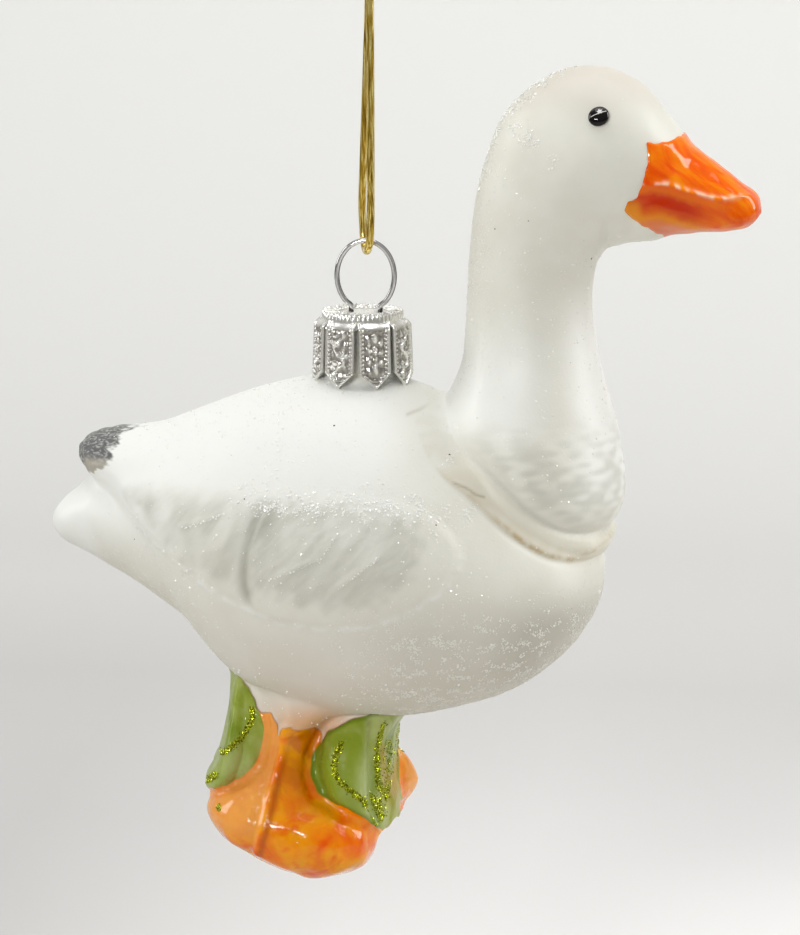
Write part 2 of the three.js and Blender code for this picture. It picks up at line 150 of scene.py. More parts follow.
def wrapped(around, rings, start=0):
    """For each point of a ball's rings: its share of the way from start to 1, and its angle."""
    return (np.repeat(np.linspace(start, 1, rings + 1)[1:-1], around),
            np.tile(np.linspace(0, 2 * math.pi, around, endpoint=False), rings - 1))


def loft(rows, around, rings, sag=0, start=0):
    """A body through cross-sections that stand across the mid-plane, from that share of its
    length on. A row is (low x, low z, high x, high z, half width)."""
    t, turn = wrapped(around, rings, start)
    low = catmull([(r[0], r[4], r[1]) for r in rows], t)
    high = catmull([(r[2], r[4], r[3]) for r in rows], t)
    half = low[:, 1].copy()
    low[:, 1] = high[:, 1] = 0
    centre = (low + high) / 2
    up = high - centre
    rise = np.cos(turn) - sag * np.sin(turn) ** 2
    out = centre + up * rise[:, None]
    out[:, 1] = np.sin(turn) * half
    first, last = [((r[0] + r[2]) / 2, 0, (r[1] + r[3]) / 2) for r in (rows[0], rows[-1])]
    return np.vstack([first, out, last]), ball_faces(around, rings)


def column(rows, around, rings, centre=0, forward=0):
    """An upright body of level sections. A row is (z, back x, front x, half width)."""
    t, turn = wrapped(around, rings)
    back = catmull([(r[1], r[3], r[0]) for r in rows], t)
    front = catmull([(r[2], r[3], r[0]) for r in rows], t)
    middle = (back[:, 0] + front[:, 0]) / 2 + forward
    reach = (front[:, 0] - back[:, 0]) / 2
    skin = np.stack([middle + reach * np.cos(turn), centre + back[:, 1] * np.sin(turn),
                     back[:, 2]], 1)
    first, last = [((r[1] + r[2]) / 2 + forward, centre, r[0]) for r in (rows[0], rows[-1])]
    return np.vstack([first, skin, last]), ball_faces(around, rings)


def ellipsoid(centre, radii, around=48, rings=32, roundness=2):
    """A ball of those half sizes; a roundness below 2 makes it pointed."""
    t, turn = wrapped(around, rings)
    t = t * math.pi
    skin = np.stack([np.sin(t) * np.cos(turn), np.sin(t) * np.sin(turn), np.cos(t)], 1)
    points = np.vstack([(0, 0, 1), skin, (0, 0, -1)])
    size = (np.abs(points) ** roundness).sum(1) ** (1 / roundness)
    return points / size[:, None] * radii + centre, ball_faces(around, rings)


def bar_faces(sides, rings, closed=False):
    """Faces of a bar whose vertices are rings of that many sides, capped or closed in a loop."""
    ring = np.arange(sides)
    after = (ring + 1) % sides
    faces = []
    for k in range(rings if closed else rings - 1):
        low, high = k * sides, (k + 1) % rings * sides
        faces += [(low + a, low + b, high + b, high + a) for a, b in zip(ring, after)]
    return faces if closed else faces + [tuple(ring[::-1]), tuple((rings - 1) * sides + ring)]


def tube(path, radius, sides, closed=False):
    """A round bar along the points, without twist, closed at its ends or into a ring."""
    path = np.asarray(path, float)
    n = len(path)
    if closed:
        tangent = np.roll(path, -1, 0) - np.roll(path, 1, 0)
    else:
        tangent = np.gradient(path, axis=0)
    tangent /= np.linalg.norm(tangent, axis=1)[:, None]
    first = np.cross(tangent[0], (0.3, 0.9, 0.2))
    across = [first / np.linalg.norm(first)]
    for k in range(1, n):
        side = across[-1] - tangent[k] * (across[-1] @ tangent[k])
        across.append(side / np.linalg.norm(side))
    across = np.array(across)
    other = np.cross(tangent, across)
    turn = np.linspace(0, 2 * math.pi, sides, endpoint=False)
    rings = (path[:, None] + radius * (np.cos(turn)[None, :, None] * across[:, None]
                                       + np.sin(turn)[None, :, None] * other[:, None]))
    return rings.reshape(-1, 3), bar_faces(sides, n, closed)


def joined(shells):
    """Several (points, faces) as one."""
    points, faces, start = [], [], 0
    for p, f in shells:
        points.append(p)
        faces += [tuple(int(i) + start for i in face) for face in f]
        start += len(p)
    return np.vstack(points), faces


def quad_normals(points, quads):
    """The normal at each point, from the quads round it."""
    across = np.cross(points[quads[:, 2]] - points[quads[:, 0]],
                      points[quads[:, 3]] - points[quads[:, 1]])
    total = np.zeros_like(points)
    for corner in range(4):
        for axis in range(3):
            total[:, axis] += np.bincount(quads[:, corner], across[:, axis], len(points))
    return total / np.maximum(np.linalg.norm(total, axis=1), 1e-12)[:, None]


def smoothed(points, edges, rounds, weight=0.5, only=None):
    """Each point moved towards the middle of its neighbours, as many times as rounds."""
    points = points.copy()
    share = weight if only is None else weight * only[:, None]
    degree = np.bincount(edges.ravel(), minlength=len(points))[:, None]
    for _ in range(rounds):
        total = np.empty_like(points)
        for axis in range(3):
            total[:, axis] = (np.bincount(edges[:, 0], points[edges[:, 1], axis], len(points))
                              + np.bincount(edges[:, 1], points[edges[:, 0], axis], len(points)))
        points += share * (total / degree - points)
    return points


def linked(name, data):
    """A new object in the scene."""
    thing = bpy.data.objects.new(name, data)
    bpy.context.scene.collection.objects.link(thing)
    return thing


def aimed(thing, place, way):
    """Puts a lamp or the camera at the place, looking that way."""
    thing.location = place
    thing.rotation_mode = "QUATERNION"
    thing.rotation_quaternion = way.to_track_quat("-Z", "Y")


def read(items, name, width, kind):
    """What mesh items say under that name, as rows of that width."""
    out = np.empty(len(items) * width, kind)
    items.foreach_get(name, out)
    return out.reshape(-1, width)


def melted(shells, voxel):
    """The shells as one skin of small quads: its points, quads and edges."""
    points, faces = joined(shells)
    mesh = bpy.data.meshes.new("melting")
    mesh.from_pydata(points.tolist(), [], faces)
    source = linked("melting", mesh)
    modifier = source.modifiers.new("Melt", "REMESH")
    modifier.mode = "VOXEL"
    modifier.voxel_size = voxel
    bpy.context.view_layer.update()
    graph = bpy.context.evaluated_depsgraph_get()
    skin = bpy.data.meshes.new_from_object(source.evaluated_get(graph))
    points = read(skin.vertices, "co", 3, float)
    quads = read(skin.loops, "vertex_index", 1, np.int32).reshape(-1, 4)
    edges = read(skin.edges, "vertices", 2, np.int32)
    bpy.data.objects.remove(source)
    bpy.data.meshes.remove(mesh)
    bpy.data.meshes.remove(skin)
    return points, quads, edges


def shape(name, points, faces, finish, smooth=True):
    """An object with that finish, from points in millimetres."""
    mesh = bpy.data.meshes.new(name)
    mesh.from_pydata((np.asarray(points) * MM).tolist(), [], [tuple(map(int, f)) for f in faces])
    mesh.polygons.foreach_set("use_smooth", [smooth] * len(mesh.polygons))
    mesh.materials.append(finish.block)
    mesh.update()
    return linked(name, mesh)


def piece(name, points, faces, finish, slot, replaces=(), paint=None, smooth=True):
    """A piece of the ornament, with its paint values on each point; its slot is not used."""
    thing = shape(name, points, faces, finish, smooth)
    for key, values in (paint or {}).items():
        layer = thing.data.attributes.new(key, "FLOAT", "POINT")
        layer.data.foreach_set("value", np.asarray(values, np.float32))
    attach(thing, "root")
    if replaces:
        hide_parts(*replaces)
    return thing


def cut_piece(name, points, faces, finish, slot, replaces, paint):
    """A piece of only those faces, and which of the points they use."""
    used = np.unique(np.concatenate(faces))
    number = np.zeros(len(points), int)
    number[used] = np.arange(len(used))
    kept = {key: values[used] for key, values in paint.items()}
    faces = [number[list(face)] for face in faces]
    return piece(name, points[used], faces, finish, slot, replaces, kept), used


# ---- materials ----

def tint(red, green, blue):
    """A colour given as 0 to 255 in sRGB."""
    linear = [(c / 255 / 12.92 if c <= 10 else ((c / 255 + 0.055) / 1.055) ** 2.4)
              for c in (red, green, blue)]
    return (*linear, 1)


class Finish:
    """A material, or the world, and short names for its nodes. Colours are 0 to 255 in sRGB."""

    def __init__(self, name, blocks=bpy.data.materials, shader="Principled BSDF", space="Object"):
        self.block = blocks.new(name)
        self.block.use_nodes = True
        self.tree = self.block.node_tree
        self.shader = self.tree.nodes[shader]
        self.place = self.node("TexCoord", space)

    def feed(self, node, inputs):
        """Gives each input another node's output, a colour or a number."""
        for key, value in inputs.items():
            socket = node.inputs[key]
            if isinstance(value, bpy.types.NodeSocket):
                self.tree.links.new(value, socket)
            else:
                socket.default_value = tint(*value) if socket.type == "RGBA" else value

    def node(self, kind, output, inputs=None, **settings):
        """One output of a new node."""
        made = self.tree.nodes.new("ShaderNode" + kind)
        for key, value in settings.items():
            setattr(made, key, value)
        self.feed(made, inputs or {})
        return made.outputs[output]

    def set(self, **values):
        """Sets the shader's inputs by name, with _ for a space."""
        self.feed(self.shader, {key.replace("_", " "): value for key, value in values.items()})

    def layer(self, name):
        """The paint values of that name, which the mesh holds."""
        return self.node("Attribute", "Fac", attribute_name=name)

    def axis(self, name):
        """How far along X, Y or Z a point is."""
        return self.node("SeparateXYZ", name, {"Vector": self.place})

    def noise(self, size, detail=3, rough=0.5, stretch=None, lean=0, twist=0):
        """Cloudy noise, 0 to 1, whose lumps are that many metres across, drawn out by that
        stretch along axes that lean by those degrees about Y."""
        at = self.place
        if stretch:
            at = self.node("Mapping", "Vector", {"Vector": at, "Scale": stretch,
                                                 "Rotation": (0, math.radians(lean), 0)},
                           vector_type="TEXTURE")
        return self.node("TexNoise", "Fac", {"Vector": at, "Scale": 1 / size, "Detail": detail,
                                             "Roughness": rough, "Distortion": twist})

    def cells(self, size):
        """Distance from the middle of cells that are about that many metres across."""
        return self.node("TexVoronoi", "Distance", {"Vector": self.place, "Scale": 1 / size})

    def span(self, value, low, high, to_low=0, to_high=1, soft=True):
        """The value from low to high, brought to run from to_low to to_high."""
        return self.node("MapRange", "Result", {"Value": value, "From Min": low, "From Max": high,
                                                "To Min": to_low, "To Max": to_high},
                         interpolation_type="SMOOTHSTEP" if soft else "LINEAR")

    def sum(self, a, b, how="ADD"):
        """Both together, or another operation on the two."""
        return self.node("Math", "Value", {0: a, 1: b}, operation=how)

    def times(self, a, b):
        """Their product."""
        return self.sum(a, b, "MULTIPLY")

    def wobbled(self, layer, size, reach):
        """A paint boundary made uneven: the layer plus noise of up to half that reach."""
        return self.sum(self.layer(layer), self.span(self.noise(size, 2), 0, 1,
                                                     -reach / 2, reach / 2, soft=False))

    def blend(self, share, a, b):
        """The colour a where share is 0, and b where it is 1."""
        return self.node("Mix", "Result", {"Factor": share, "A": a, "B": b}, data_type="RGBA")

    def coats(self, under, **coats):
        """The colour under, with each coat's colour over it where its paint layer says."""
        for name, colour in coats.items():
            under = self.blend(self.layer(name), under, colour)
        return under

    def colours(self, value, *stops):
        """A colour for each value; a stop is (value, red, green, blue)."""
        colour = self.node("ValToRGB", "Color", {"Fac": value})
        line = colour.node.color_ramp.elements
        while len(line) < len(stops):
            line.new(0.5)
        for element, (at, *shade) in zip(line, stops):
            element.position = at
            element.color = tint(*shade)
        return colour

    def rough_up(self, height, depth):
        """Bump of that depth, in metres, from a height between 0 and 1."""
        self.set(Normal=self.node("Bump", "Normal", {"Height": height, "Distance": depth}))


# ---- camera ----

AZIMUTH, ELEVATION, DISTANCE = math.radians(7), math.radians(11), 0.52
back = Vector((math.sin(AZIMUTH) * math.cos(ELEVATION),
               -math.cos(AZIMUTH) * math.cos(ELEVATION), math.sin(ELEVATION)))
beside = Vector((math.cos(AZIMUTH), math.sin(AZIMUTH), 0))
aim = Vector((0, 0, -0.030)) + beside * 0.0046 - back.cross(beside) * 0.0005
lens = bpy.data.cameras.new("camera")
lens.sensor_fit = "HORIZONTAL"
lens.sensor_width = 36
lens.lens = 173.3
lens.clip_start, lens.clip_end = 0.01, 20
camera = linked("camera", lens)
aimed(camera, aim + back * DISTANCE, -back)
bpy.context.scene.camera = camera
bpy.context.scene.view_settings.view_transform = "Standard"

# ---- gold thread, from its knot down behind the ring, under it and up in front ----

THREAD = 0.00105
THREAD_ROUTE = [
    (0.00035, 0.0008, 0.0400), (0.00035, 0.00085, 0.0330), (0.0001, 0.00095, 0.0250),
    (-0.0002, 0.0011, 0.0170), (-0.0005, 0.00145, 0.0100), (-0.0007, 0.00195, 0.0050),
    (-0.00065, 0.0022, 0.0024), (-0.0005, 0.00195, 0.0004), (-0.0002, 0.0011, -0.0007),
    (0.0001, 0, -0.0010), (0.00045, -0.0011, -0.0007), (0.0008, -0.00195, 0.0004),
    (0.00095, -0.0022, 0.0024), (0.00095, -0.00195, 0.0050), (0.0009, -0.00145, 0.0100),
    (0.00085, -0.0011, 0.0170), (0.0008, -0.00095, 0.0250), (0.00075, -0.00085, 0.0330),
    (0.00075, -0.0008, 0.0400)]
KNOT = {"x": 0.55, "z": 41.35, "radius": 1.15, "strand": 0.5}

gold = Finish("gold_thread")
# The streaks along the thread are partly painted light: the palest stop stands in for highlights on
# the metal and the darkest for shade.
strands = gold.noise(0.00022, 2, stretch=(1, 1, 16))
gold.set(Base_Color=gold.colours(strands, (0.34, 150, 116, 22), (0.48, 208, 172, 60),
                                 (0.62, 255, 236, 156)),
         Metallic=0.75, Roughness=gold.span(strands, 0, 1, 0.16, 0.3), IOR=1.5)
gold.rough_up(strands, 0.00002)

thread_line = catmull(THREAD_ROUTE, np.linspace(0, 1, 361))
thread = piece("gold_thread", *tube(thread_line / MM, THREAD / MM / 2, 20), gold,
               "gold_thread", ["thread"])

turn = np.linspace(0, 4 * math.pi, 180, endpoint=False)
reach = KNOT["radius"] * (2 + np.cos(1.5 * turn)) / 2
knot_path = np.stack([KNOT["x"] + reach * np.cos(turn), reach * np.sin(turn),
                      KNOT["z"] + KNOT["radius"] * np.sin(1.5 * turn) / 2], 1)
tails = [tube(smooth_line([(0.5, s * 0.3, 41.2), (0.5 + s * 0.3, s * 0.7, 43),
                           (0.7 + s * 0.9, s * 1.2, 45.6)], 24), KNOT["strand"] * 0.96, 16)
         for s in (-1, 1)]
thread_knot = piece("gold_thread_knot",
                    *joined([tube(knot_path, KNOT["strand"], 16, closed=True), *tails]),
                    gold, "gold_thread", ["thread_knot"])

# ---- sizes of the goose, in millimetres ----

# The rows of BODY, TAIL and NECK are those of loft, and all others are those of column.
BODY = [
    (-39.2, -29, -39.2, -28.2, 2), (-37.2, -31.8, -37.6, -26.6, 5.2),
    (-33.4, -36, -33.2, -25.6, 8), (-28, -44.8, -28, -24.8, 12.2),
    (-22.6, -53, -21.6, -22.4, 16.2), (-15.2, -60.4, -14, -19.6, 19.6),
    (-6, -64.4, -5, -17.8, 21.6), (4, -64.2, 4, -18, 22), (13.5, -62.4, 13.5, -21.8, 20.6),
    (21.8, -59.2, 21.8, -27.5, 17.6), (28.2, -53.8, 28.2, -35, 13.2), (31.6, -48.2, 32, -41, 6.8),
    (32.4, -45, 32.4, -44.2, 1.5)]
TAIL = [(-43.2, -38.9, -43.2, -38.3, 1.4), (-41.4, -41.2, -40.8, -35.4, 4.4),
        (-37.2, -43.4, -36.6, -32, 7.2), (-31.5, -46.4, -30.5, -33, 9.6),
        (-24.5, -51, -23.5, -37, 11.4), (-16, -54, -16, -43, 9), (-13, -50, -13, -47, 3)]
NECK = [
    (19, -46.5, 14, -42.5, 3), (28.6, -46.5, 7, -33, 11.5), (33.2, -38.6, 8.6, -24.5, 14.3),
    (34.8, -31.4, 11.2, -19.8, 13.6), (34.1, -24.6, 13, -15.5, 11.4),
    (32, -17.6, 13.6, -11.5, 9.6), (30.5, -9.5, 13.9, -6.5, 8.5), (30.5, -4.8, 14.1, -1, 8.3),
    (31.2, -1.9, 14.6, 4.8, 8.7), (32.6, -0.8, 15.9, 11, 9.3), (34.2, -0.2, 19, 18.3, 9.9),
    (36, 0.2, 25, 23, 10), (37.6, 0.7, 31, 24, 9.7), (39, 1, 36.6, 21.8, 8.8),
    (40.8, 1.7, 40.6, 17.4, 7.6), (43, 2, 43.6, 13.6, 6.5), (45.6, 2.2, 46.6, 11.3, 5.9),
    (48.4, 2.4, 49.5, 9, 5.1), (50.9, 3, 51.9, 7.2, 3.6), (52.5, 4.9, 52.5, 5.5, 1)]
FOOT = [(-58, -13.2, -6.6, 3.4), (-64, -13.2, -5.6, 3.8), (-69.5, -13.8, -5.4, 4.6),
        (-73, -18.6, -2.8, 6.8), (-76, -20.6, 1.4, 8.6), (-79.2, -18.8, 3.3, 9),
        (-82.2, -14.2, 2.6, 7.8), (-84.4, -9.2, -1, 4.2), (-85, -7, -4.4, 1)]
LEAF_BACK = [(-55, -16.6, -14.4, 5), (-59, -17.8, -14.4, 9.6), (-64, -18.5, -13.9, 11.8),
             (-69, -19.6, -14.3, 13.2), (-72.4, -21.4, -15.9, 13), (-74.2, -21.4, -18.8, 9.4)]
LEAF_FRONT = [(-60, -6, 4, 6.4), (-62.6, -7, 5.6, 10.8), (-66, -7.2, 5.2, 13.4),
              (-70, -7.2, 4.8, 15), (-74, -4.6, 4.5, 15.2), (-77.2, 0.2, 4.6, 13.4),
              (-79.4, 3.2, 5, 10)]
BODY_SAG, NECK_SAG = 0.12, 0.06  # how low on its sections the greatest width lies
FOOT_APART, LEFT_FOOT_STEP = 9.2, 0.8  # from the mid-plane, and forward of the right foot
WEB = [  # between the legs, and between them and the front leaf
    (-60, -13, -1, 9.5), (-68, -12.6, -3, 9.5), (-74, -12, -4, 8), (-80, -11, -6, 6)]
BRIDGE = [  # between the legs and the back leaf
    (-57, -16.4, -9.5, 9.6), (-62, -17, -9.8, 11.2), (-67, -17.6, -10.2, 12),
    (-71.5, -18.4, -10.6, 12.6), (-75, -18, -11, 11.4)]
SKIRT = [  # white glass that the belly sends down round the legs
    (-54, -17, 3.6, 13), (-60, -16, 2, 14), (-63, -14.4, -1.5, 13.9), (-65.2, -13.3, -4.6, 13.2),
    (-66.4, -12.4, -6.5, 11.5)]
TOE = {"centre": (2.2, 10.4, -76.7), "radii": (4.5, 5.8, 5.6), "roundness": 1.45}
STUB = {"x": -0.4, "radius": 5, "top": -10.1, "foot": -24}
EYE = {"x": 31.6, "y": 8.45, "z": 18.2, "radius": 1.32, "bulge": 0.7, "tilt": 0.5}

# Lines that lie on the goose's side, as (x, z).
RIBBON = [(8.2, -8), (9.2, -16), (9.7, -21.8), (12.6, -26.6), (17.4, -30.5), (22.4, -35),
          (27.4, -38.2), (32.4, -39.3), (40, -39.3)]
RIBBON_WIDTH = 3.4
WING = [(15, -38.4), (11.4, -43.8), (3.4, -47.4), (-6.6, -47.8), (-16, -45), (-24, -40.6),
        (-30, -36.2), (-32.2, -31.6), (-24, -28.4), (-12, -28.6), (2, -30), (11.4, -33)]
WING_STEP = [(-10, -30.4), (-10.7, -32.7), (-11.8, -35.1), (-12.8, -38.1), (-13.2, -41.1),
             (-12.9, -43.8), (-11.8, -47.5)]
GREY_OVAL = [(-13.2, -41.1), (-11.6, -44.4), (-9.4, -43.6), (-6, -45.4), (0.7, -45.2),
             (5.6, -43.8), (8.9, -40.6), (10.2, -36.6), (9.4, -33.8), (4.2, -32.4), (-2.4, -31.6),
             (-7.6, -31.8), (-10.8, -32.8), (-12.2, -36.4)]
FOLDS = [[(27, -37.4), (30, -37), (33.4, -36)],
         [(27.2, -40), (30.6, -39.2), (33.4, -37.6)]]
STROKES = [  # thin brown strokes beside the ribbon: line, width and strength
    # The first stroke, under the ribbon's lower edge, is painted shadow.
    ([(13.5, -29.3), (15.4, -30.1), (16.4, -30.8), (17.5, -31.2)], 0.16, 0.5),
    ([(10.5, -20.9), (10.7, -20), (11.5, -19.3)], 0.2, 0.8),
    ([(6.8, -21.4), (8.7, -20.8), (10.3, -19.7), (11.4, -18.9)], 0.2, 0.3)]
LEG_TOP = [(-16, -59), (-12.9, -62.2), (-11.5, -61.9), (-10.7, -63.2), (-10.4, -65),
           (-10.1, -64.2), (-9.6, -63.7), (-7.5, -63.4), (-5.8, -63.5), (-5.2, -64.2),
           (-4.9, -66.2), (-3.4, -68), (2, -70)]
QUILLS = [  # bright edges of the wing's feathers, where the glitter lies in lines
    [(-10.1, -41.6), (-7, -40.3), (-3.1, -38.5), (-1.3, -35.7)],
    [(-0.6, -42.1), (3.5, -39.1), (4.4, -38.2)],
    [(-22.5, -36.1), (-19.2, -34.9), (-16.4, -33.7)]]
BILL_EDGE = [(43.4, 16.6), (42.4, 15.4), (40.9, 14.9), (39.4, 14.7), (37.9, 14.8), (37.85, 13.7),
             (37.9, 11.5), (37.4, 9.8), (36.8, 7.8), (35.5, 7.2), (35.2, 6), (36.1, 4.7),
             (37.4, 3.7), (39.4, 2.2), (41.4, 0), (43.4, -3)]
THROAT = (31.2, -0.5)
JAW = [(20, 3), (25, 1.9), (30.5, 1.2), (34, 1.4)]
GAPE = [(34, 9.3), (37.1, 9.3), (38.8, 9.4), (40.7, 9.2), (43.5, 8.1), (46.5, 7.2), (48.9, 7.2),
        (51, 7.3), (54, 7.3)]
TIPS_EDGE = [(-28, -23.6), (-29.6, -24.7), (-31.4, -25.3), (-32.9, -26), (-33.1, -27.2),
             (-34.1, -27.7), (-33.5, -28.4), (-34.3, -29.6), (-36, -30.8), (-38.6, -32),
             (-41, -32.4)]
LEAF_FRONT_EDGE = [(7.4, -61.2), (3, -62.1), (-0.7, -62.9), (-3.7, -64.5), (-5.3, -66.9),
                   (-5.9, -69.5), (-5.2, -71.9), (-3.2, -73.4), (-0.2, -74.4), (2.4, -76.4),
                   (4.6, -79.2), (5.4, -82)]
LEAF_BACK_EDGE = [(-17.8, -54), (-16.2, -57.2), (-14.4, -60), (-13, -62.4), (-12.4, -64),
                  (-12.8, -66.6), (-13.8, -69.4), (-16.6, -71.6), (-20.6, -73.2), (-24, -73.6)]
FOOT_RIDGE = [(-9.6, -64), (-10.1, -67.5), (-10.8, -70.1), (-11.4, -74), (-12.1, -77), (-13, -80)]
LEAF_FOLD = [(2.1, -60), (2.3, -63.3), (2.6, -67.2), (3.3, -73.9), (4.2, -79)]
VEINS = [  # lines of green glitter on the leaves: the line and how many grains
    ([(-1.6, -65.5), (-2.4, -67.6), (-2.1, -69.6), (0, -71.6), (1.6, -73.2), (2.6, -75.2),
      (3.2, -77.4)], 1500),
    ([(3.6, -63.8), (2.9, -65.9), (2.7, -69), (2.8, -72.1), (3.2, -74.8)], 640),
    ([(3.7, -67), (3.6, -71.6), (3.4, -75.4)], 240),
    ([(-14.1, -61.7), (-14, -63.1), (-14.9, -64.9), (-16.7, -66.7), (-18.2, -67.8)], 700),
    ([(-18.6, -70.6), (-19.2, -71), (-20.3, -72)], 240),
    ([(-18, -74.5), (-18.3, -74.9)], 50)]
SHINE = [(-16, -31.5), (-7.6, -32.2), (0.3, -31.8), (4.2, -31.9), (8.1, -32.7), (12, -33.9)]
DUST_LINE = [(-11.4, -32.7), (-10.8, -29.1), (-10.2, -25.7), (-8.7, -20)]
CLUMPS = [  # of glitter: x, z and size
    (22.4, 14.8, 1), (20.6, 16.2, 0.7), (25.9, 12.5, 0.6), (16.4, 11.2, 0.8), (12.9, -26.5, 0.6),
    (15.6, -33.2, 0.9)]
SPECKS = [  # dark ones: x, z and size
    (18, 3.1, 0.13), (22.6, 4.5, 0.11), (30.5, -1, 0.17), (12.7, -26.1, 0.16), (11.7, -34.2, 0.13),
    (-13.8, -31.7, 0.14), (-30, -39.1, 0.1), (-2.6, -22.6, 0.16)]
GRAINS = {"fine": 8000, "bold": 3200, "quill": 60, "sugar": 24000}

# ---- one blown skin: the goose, the stub, the legs, feet and leaves melted together ----

VOXEL = 0.33
STAND_TOP = -53  # the legs, feet and leaves all lie below this
STAND_REACH = 1.4  # how far round them the skin has their enamel

stub_path = [(STUB["x"], 0, z) for z in np.linspace(STUB["foot"], STUB["top"], 41)]
stand_shells = [
    column(FOOT, 72, 120, centre=-FOOT_APART),
    column(FOOT, 72, 120, centre=FOOT_APART, forward=LEFT_FOOT_STEP),
    ellipsoid(TOE["centre"], TOE["radii"], roundness=TOE["roundness"]), column(WEB, 64, 60),
    column(BRIDGE, 64, 60), column(LEAF_BACK, 96, 90), column(LEAF_FRONT, 96, 90)]
skin, quads, edges = melted([
    loft(BODY, 160, 200, BODY_SAG), loft(TAIL, 96, 80), loft(NECK, 128, 240, NECK_SAG),
    tube(stub_path, STUB["radius"], 96), column(SKIRT, 96, 60), *stand_shells], VOXEL)

stand_points, stand_faces = joined(stand_shells)
stand_tree = BVHTree.FromPolygons(stand_points.tolist(), stand_faces)
off_stand = np.full(len(skin), 9.0)
for i in np.flatnonzero(skin[:, 2] < STAND_TOP):
    off_stand[i] = stand_tree.find_nearest(Vector(skin[i]))[3]
on_stand = ramp(off_stand, 1.3, 0.5)

# The melted steps are smoothed away, most of all round the tops of the legs and under the tail.
skin = smoothed(skin, edges, 10)
x, y, z = skin.T
root = ramp(z, -67.2, -65.2) * ramp(z, -59.5, -61.5) * ramp(x, 1, -1) * ramp(x, -17, -14)
skin = smoothed(skin, edges, 30, only=root)
rump_valley = ramp(x, -20, -25) * ramp(z, -35, -40) * ramp(z, -56, -52)
skin = smoothed(skin, edges, 60, only=rump_valley)
x, y, z = skin.T
aside = np.abs(y)
facing = quad_normals(skin, quads)


def field(size, seed, stretch=(1, 1, 1)):
    """Random waves of about that many millimetres over the skin as it is by then."""
    return waves(skin, size, seed, stretch)


def off(line, count=0):
    """How far the skin is from a line, or from the curve of count points through it,
    positive on its left."""
    return from_line(x, z, smooth_line(line, count) if count else line)[0]


off_ribbon, ribbon_at = from_line(x, z, smooth_line(RIBBON, 64))
in_wing = in_outline(x, z, smooth_line(WING, 72, closed=True))
in_oval = in_outline(x, z, smooth_line(GREY_OVAL, 64, closed=True))
off_step = off(WING_STEP, 32)
off_bill = off(BILL_EDGE)
off_tips = off(TIPS_EDGE, 60)

# ---- relief of the skin, in millimetres ----

# The wing: raised over the flank, lower behind the step, with soft overlapping vanes.
by_wing = ramp(aside, 5, 10)
on_wing = ramp(in_wing, -0.2, 1.2) * ramp(z, -29, -36) * by_wing
vane = (x - 0.8 * z + 0.5 * field(9, 5)) / 5.2
vane_edge = vane - np.floor(vane)
quill = np.max([bump(off(line), 0.4) for line in QUILLS], axis=0)
relief = on_wing * (0.32 + 0.28 * ramp(off_step, -0.4, 0.5) * np.exp(-np.abs(off_step) / 9)
                    - 0.34 * bump(off_step + 0.35, 0.55) * ramp(z, -31, -33)
                    + 0.07 * (ramp(vane_edge, 0, 0.8) - ramp(vane_edge, 0.82, 1))
                    + 0.12 * quill)
uneven = 0.35 + 0.65 * ramp(0.5 + field(1.5, 47), 0, 1)
relief += 0.24 * uneven * bump(in_wing - 0.1, 0.45) * ramp(z, -34, -40) * by_wing
# The ribbon: a thin band, soft where it leaves the back, folded and knotted in front.
across = off_ribbon / (RIBBON_WIDTH / 2)
firm = 0.06 + 0.94 * ramp(ribbon_at, 0.35, 0.47)
front_folds = ramp(x, 27.5, 31) * sum(bump(off(line), 0.5) for line in FOLDS)
band = ramp(np.abs(across), 1.02, 0.84)
relief += band * firm * (0.45 + 0.2 * ramp(across, -0.5, 0.8)
                         + 0.1 * np.cos(4.2 * across + field(7, 8)) + 0.5 * front_folds)
relief -= 0.16 * bump(across + 1.2, 0.14) * ramp(ribbon_at, 0.38, 0.5)
# The crop swells over the ribbon and turns in to it.
above_band = off_ribbon - RIBBON_WIDTH / 2
on_crop = ramp(z, -6, -18) * ramp(above_band, 0, 2.8) * ramp(x, 12, 20)
relief += ramp(x, 12, 17) * (0.4 * bump(above_band - 5, 3.2) - 0.55 * bump(above_band - 0.3, 1))
relief += 0.011 * on_crop * field(2.2, 3, (2.2, 2.2, 0.9)) + 0.07 * field(11, 2) * (1 - on_wing)
# Under the head: the line of the jaw, the throat, the chin, and the hem of the bill.
relief -= 0.14 * bump(off(JAW), 0.9) * ramp(x, 20, 27) * ramp(x, 36, 33)
relief -= 0.5 * bump(np.hypot(x - THROAT[0], z - THROAT[1]), 1.3)
relief -= 0.2 * ramp(facing[:, 2], -0.4, -0.8) * ramp(off_bill, -3.5, -0.5) * (x > 34)
relief -= (0.65 * ramp(facing[:, 2], -0.3, -0.7) * ramp(x, 31.5, 33) * ramp(x, 39, 35.5)
           * ramp(z, -6, -3))
relief -= 0.9 * ramp(off_bill, 0.1, 1)
# Brush lines on the grey tips, and soft lumps on the tail.
on_tips = ramp(off_tips, 0.2, -0.4) * ramp(x, -26, -28) * ramp(z, -34, -32)
relief += on_tips * (0.12 + 0.07 * np.cos((z + 0.35 * x + 0.5 * field(5, 4)) * 5))
relief += 0.05 * ramp(x, -26, -34) * field(3, 6, (2.5, 1, 1))
relief += 0.4 * ramp(x, -38.5, -42) * ramp(z, -33, -35)

